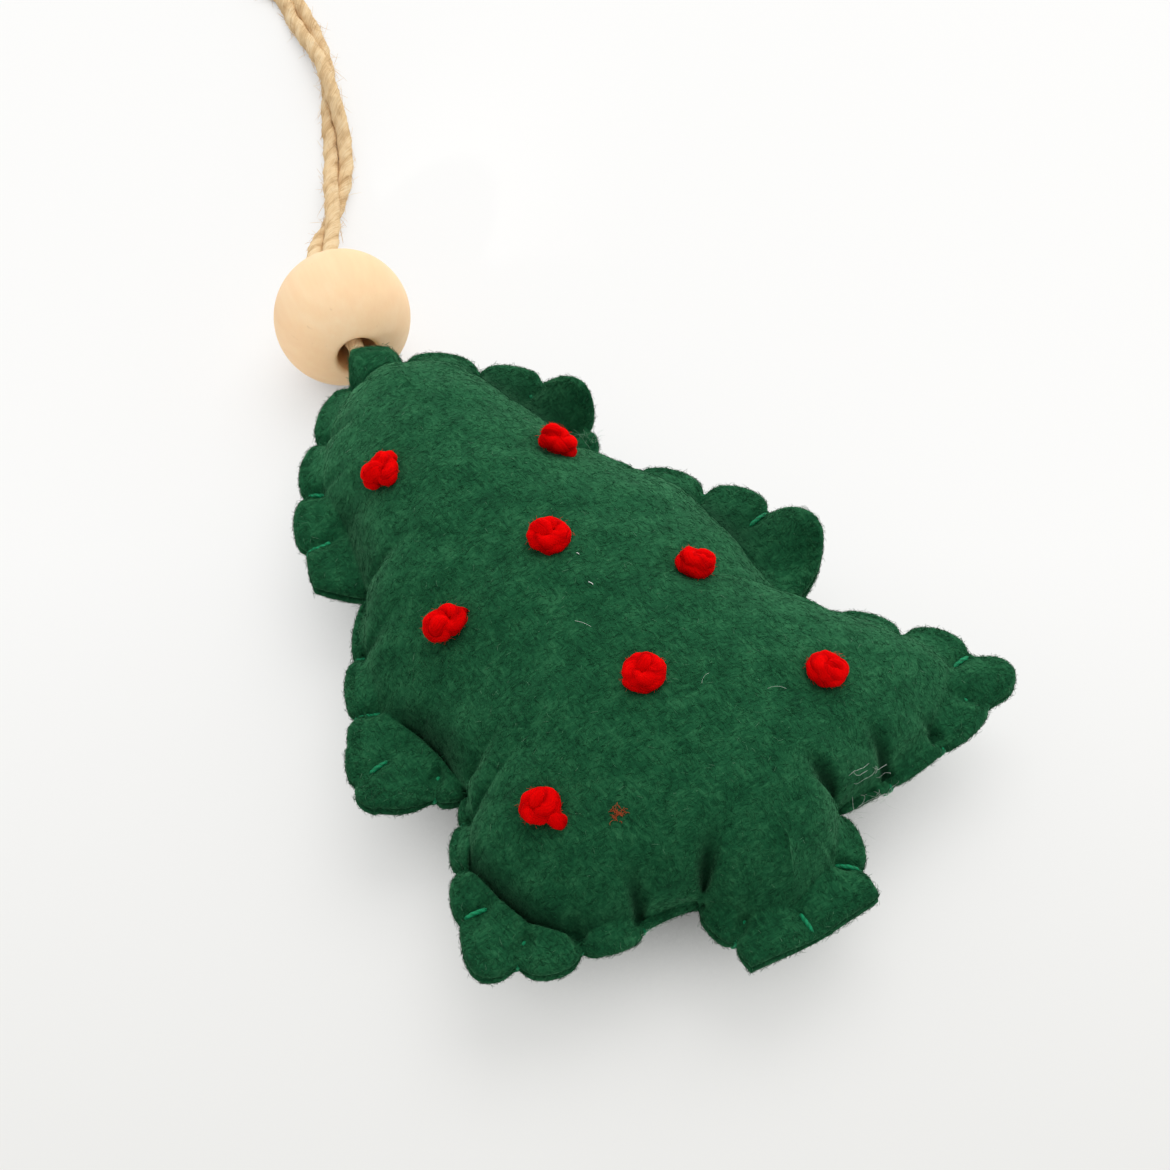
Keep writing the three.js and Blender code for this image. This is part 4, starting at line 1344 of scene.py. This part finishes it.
def knot(number, shares, winding):
    """A French knot: yarn up from the felt, wound round itself on a ring whose radius swells
    into lobes, each turn above the last and a little closer in, then tucked down through the
    middle. A tail leans out beside some."""
    closing, foot, climb = 0.22, 0.75, 1.65
    turns, ring, flat, depth, lobes, start, lean, tail = winding
    middle, normal = surface_at(on_tree(shares))
    side = unit(np.cross(normal, (0.2, 1.0, 0.1)))
    axes = np.stack([side, np.cross(normal, side), normal])
    a = np.linspace(0, 2 * np.pi * turns, int(9 * turns))
    wide = ring * (1 + depth * np.cos(lobes * (a + start))) * (1 - closing * a / a[-1])
    up = foot + climb * flat * a / a[-1] + lean * np.cos(a + start)
    coil = np.stack([wide * np.cos(a + start), wide * np.sin(a + start), up], axis=1)
    last = coil[-1]
    tuck = [(0.35 * last[0], 0.35 * last[1], last[2] + 0.25), (0.05, 0.0, 0.6), (0.0, 0.0, -1.0)]
    way_out = np.array([np.cos(start), np.sin(start)])
    if tail:
        head = [(*(way_out * (ring + tail) * 0.9), -0.9), (*(way_out * (ring + tail)), 0.45)]
    else:
        head = [(0.3, 0.2, -1.0), (*(way_out * 0.7 * wide[0]), 0.2)]
    points = middle + np.concatenate([head, coil, tuck]) @ axes
    yarn, path, _ = plied(
        f"knot_{number}_yarn", points, step=0.16, radius=1.0, pitch=4.6, sides=18,
        finish=yarn_finish, rough=0.05, groove=0.1,
    )
    count = 700
    pick = rng.integers(4, len(path) - 8, count)
    fuzz = fibres(
        f"knot_{number}_fuzz", *hairs_on(path, pick, far=0.9, scatter=0.5),
        rng.uniform(0.3, 0.8, count), rng.uniform(0.05, 0.6, count), rng.normal(0, 0.4, count),
        np.full(count, 0.02), rng.random(count), fuzz_finish,
    )
    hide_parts(f"knot_{number}")
    for piece in (yarn, fuzz):
        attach(piece, "tree")


for number, (shares, winding) in enumerate(zip(KNOTS, WINDINGS), 1):
    knot(number, shares, winding)

sewn = ((front, "front_felt"), (back, "back_felt"), (filling, "stuffing"), (thread, "seam_thread"))
for piece, slot in sewn:
    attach(piece, "tree")
    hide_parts(slot)
for piece in (strays, *naps):
    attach(piece, "tree")


def white_table():
    """A wide white table. What the camera sees of it is mostly a white glow, with painted paling
    away from the camera and painted shadow where the tree stands close, and the rest is the
    light that falls on it."""
    wide, close, glow_share = 2.5, 0.024, 0.68
    mesh = bpy.data.meshes.new("table")
    corners = [(-wide, -wide, 0), (wide, -wide, 0), (wide, wide, 0), (-wide, wide, 0)]
    mesh.from_pydata(corners, [], [(0, 1, 2, 3)])
    f = Finish("white_table")
    stops = [(0.1, linear(232, 232, 229)), (0.55, linear(255, 255, 254))]
    # Painted light: the glow pales from grey to white away from the camera
    white = f.ramp(f.along(f.place, AWAY) * 4 + 0.5, stops)
    f.done(Base_Color=linear(241, 240, 238), Roughness=0.6, Specular_IOR_Level=0.15)
    # Painted shadow: the glow is darkened by ambient occlusion where the tree stands close
    near = f.node("AmbientOcclusion", {"samples": 12}, {"Distance": close}, out="AO")
    grey = [(0.0, 0.02), (0.1, 0.14), (0.2, 0.42), (0.32, 0.7), (0.5, 0.92), (0.7, 1.0)]
    shade = f.ramp(near, [(at, (level, level, level, 1)) for at, level in grey])
    rays = ("Is Camera Ray", "Is Glossy Ray", "Is Transmission Ray")
    seen_by = sum(f.node("LightPath", out=ray) for ray in rays)
    colour = f.mix(1.0, white, shade, "MULTIPLY")
    glow = f.node("Emission", inputs={"Color": colour, "Strength": 1.0})
    lit = Value(f.tree, f.shader.outputs[0])
    seen = f.node("MixShader", inputs={0: seen_by * glow_share, 1: lit, 2: glow})
    f.tree.links.new(seen.socket, f.tree.nodes["Material Output"].inputs["Surface"])
    mesh.materials.append(f.material)
    table = bpy.data.objects.new("table", mesh)
    bpy.context.scene.collection.objects.link(table)


def light_all_round():
    """A white sky, brightest low down and away from the camera, to its right."""
    world = bpy.data.worlds.new("even_light")
    bpy.context.scene.world = world
    world.use_nodes = True
    sky = Nodes(world.node_tree)
    way = sky.node("TexCoord", out="Generated")
    high = sky.node("SeparateXYZ", inputs={0: way}, out="Z")
    lean = sky.along(way, unit(AWAY + 0.4 * RIGHT))
    light = world.node_tree.nodes["Background"].inputs
    feed(sky.tree, light["Strength"], (1.2 - 0.84 * high) * (1 + 0.42 * lean))
    feed(sky.tree, light["Color"], WHITE)


def place_lamps():
    """A wide soft lamp behind the tree, and a small fill on the near side of the bead."""
    window = bpy.data.lights.new("window", "AREA")
    window.shape = "SQUARE"
    window.size = 0.8
    window.energy = 5.0
    stand(window, np.zeros(3), AWAY * 0.45 + RIGHT * 0.12 + UP * 0.84)
    fill = bpy.data.lights.new("fill_on_the_bead", "SPOT")
    fill.spot_size = 0.066
    fill.spot_blend = 1.0
    fill.shadow_soft_size = 0.015
    fill.energy = 4.4
    stand(fill, metres(BEAD_CENTRE), UP * 0.2 - AWAY * 0.4 - RIGHT * 0.16)


white_table()
light_all_round()
place_lamps()
bpy.context.scene.view_settings.view_transform = "Standard"
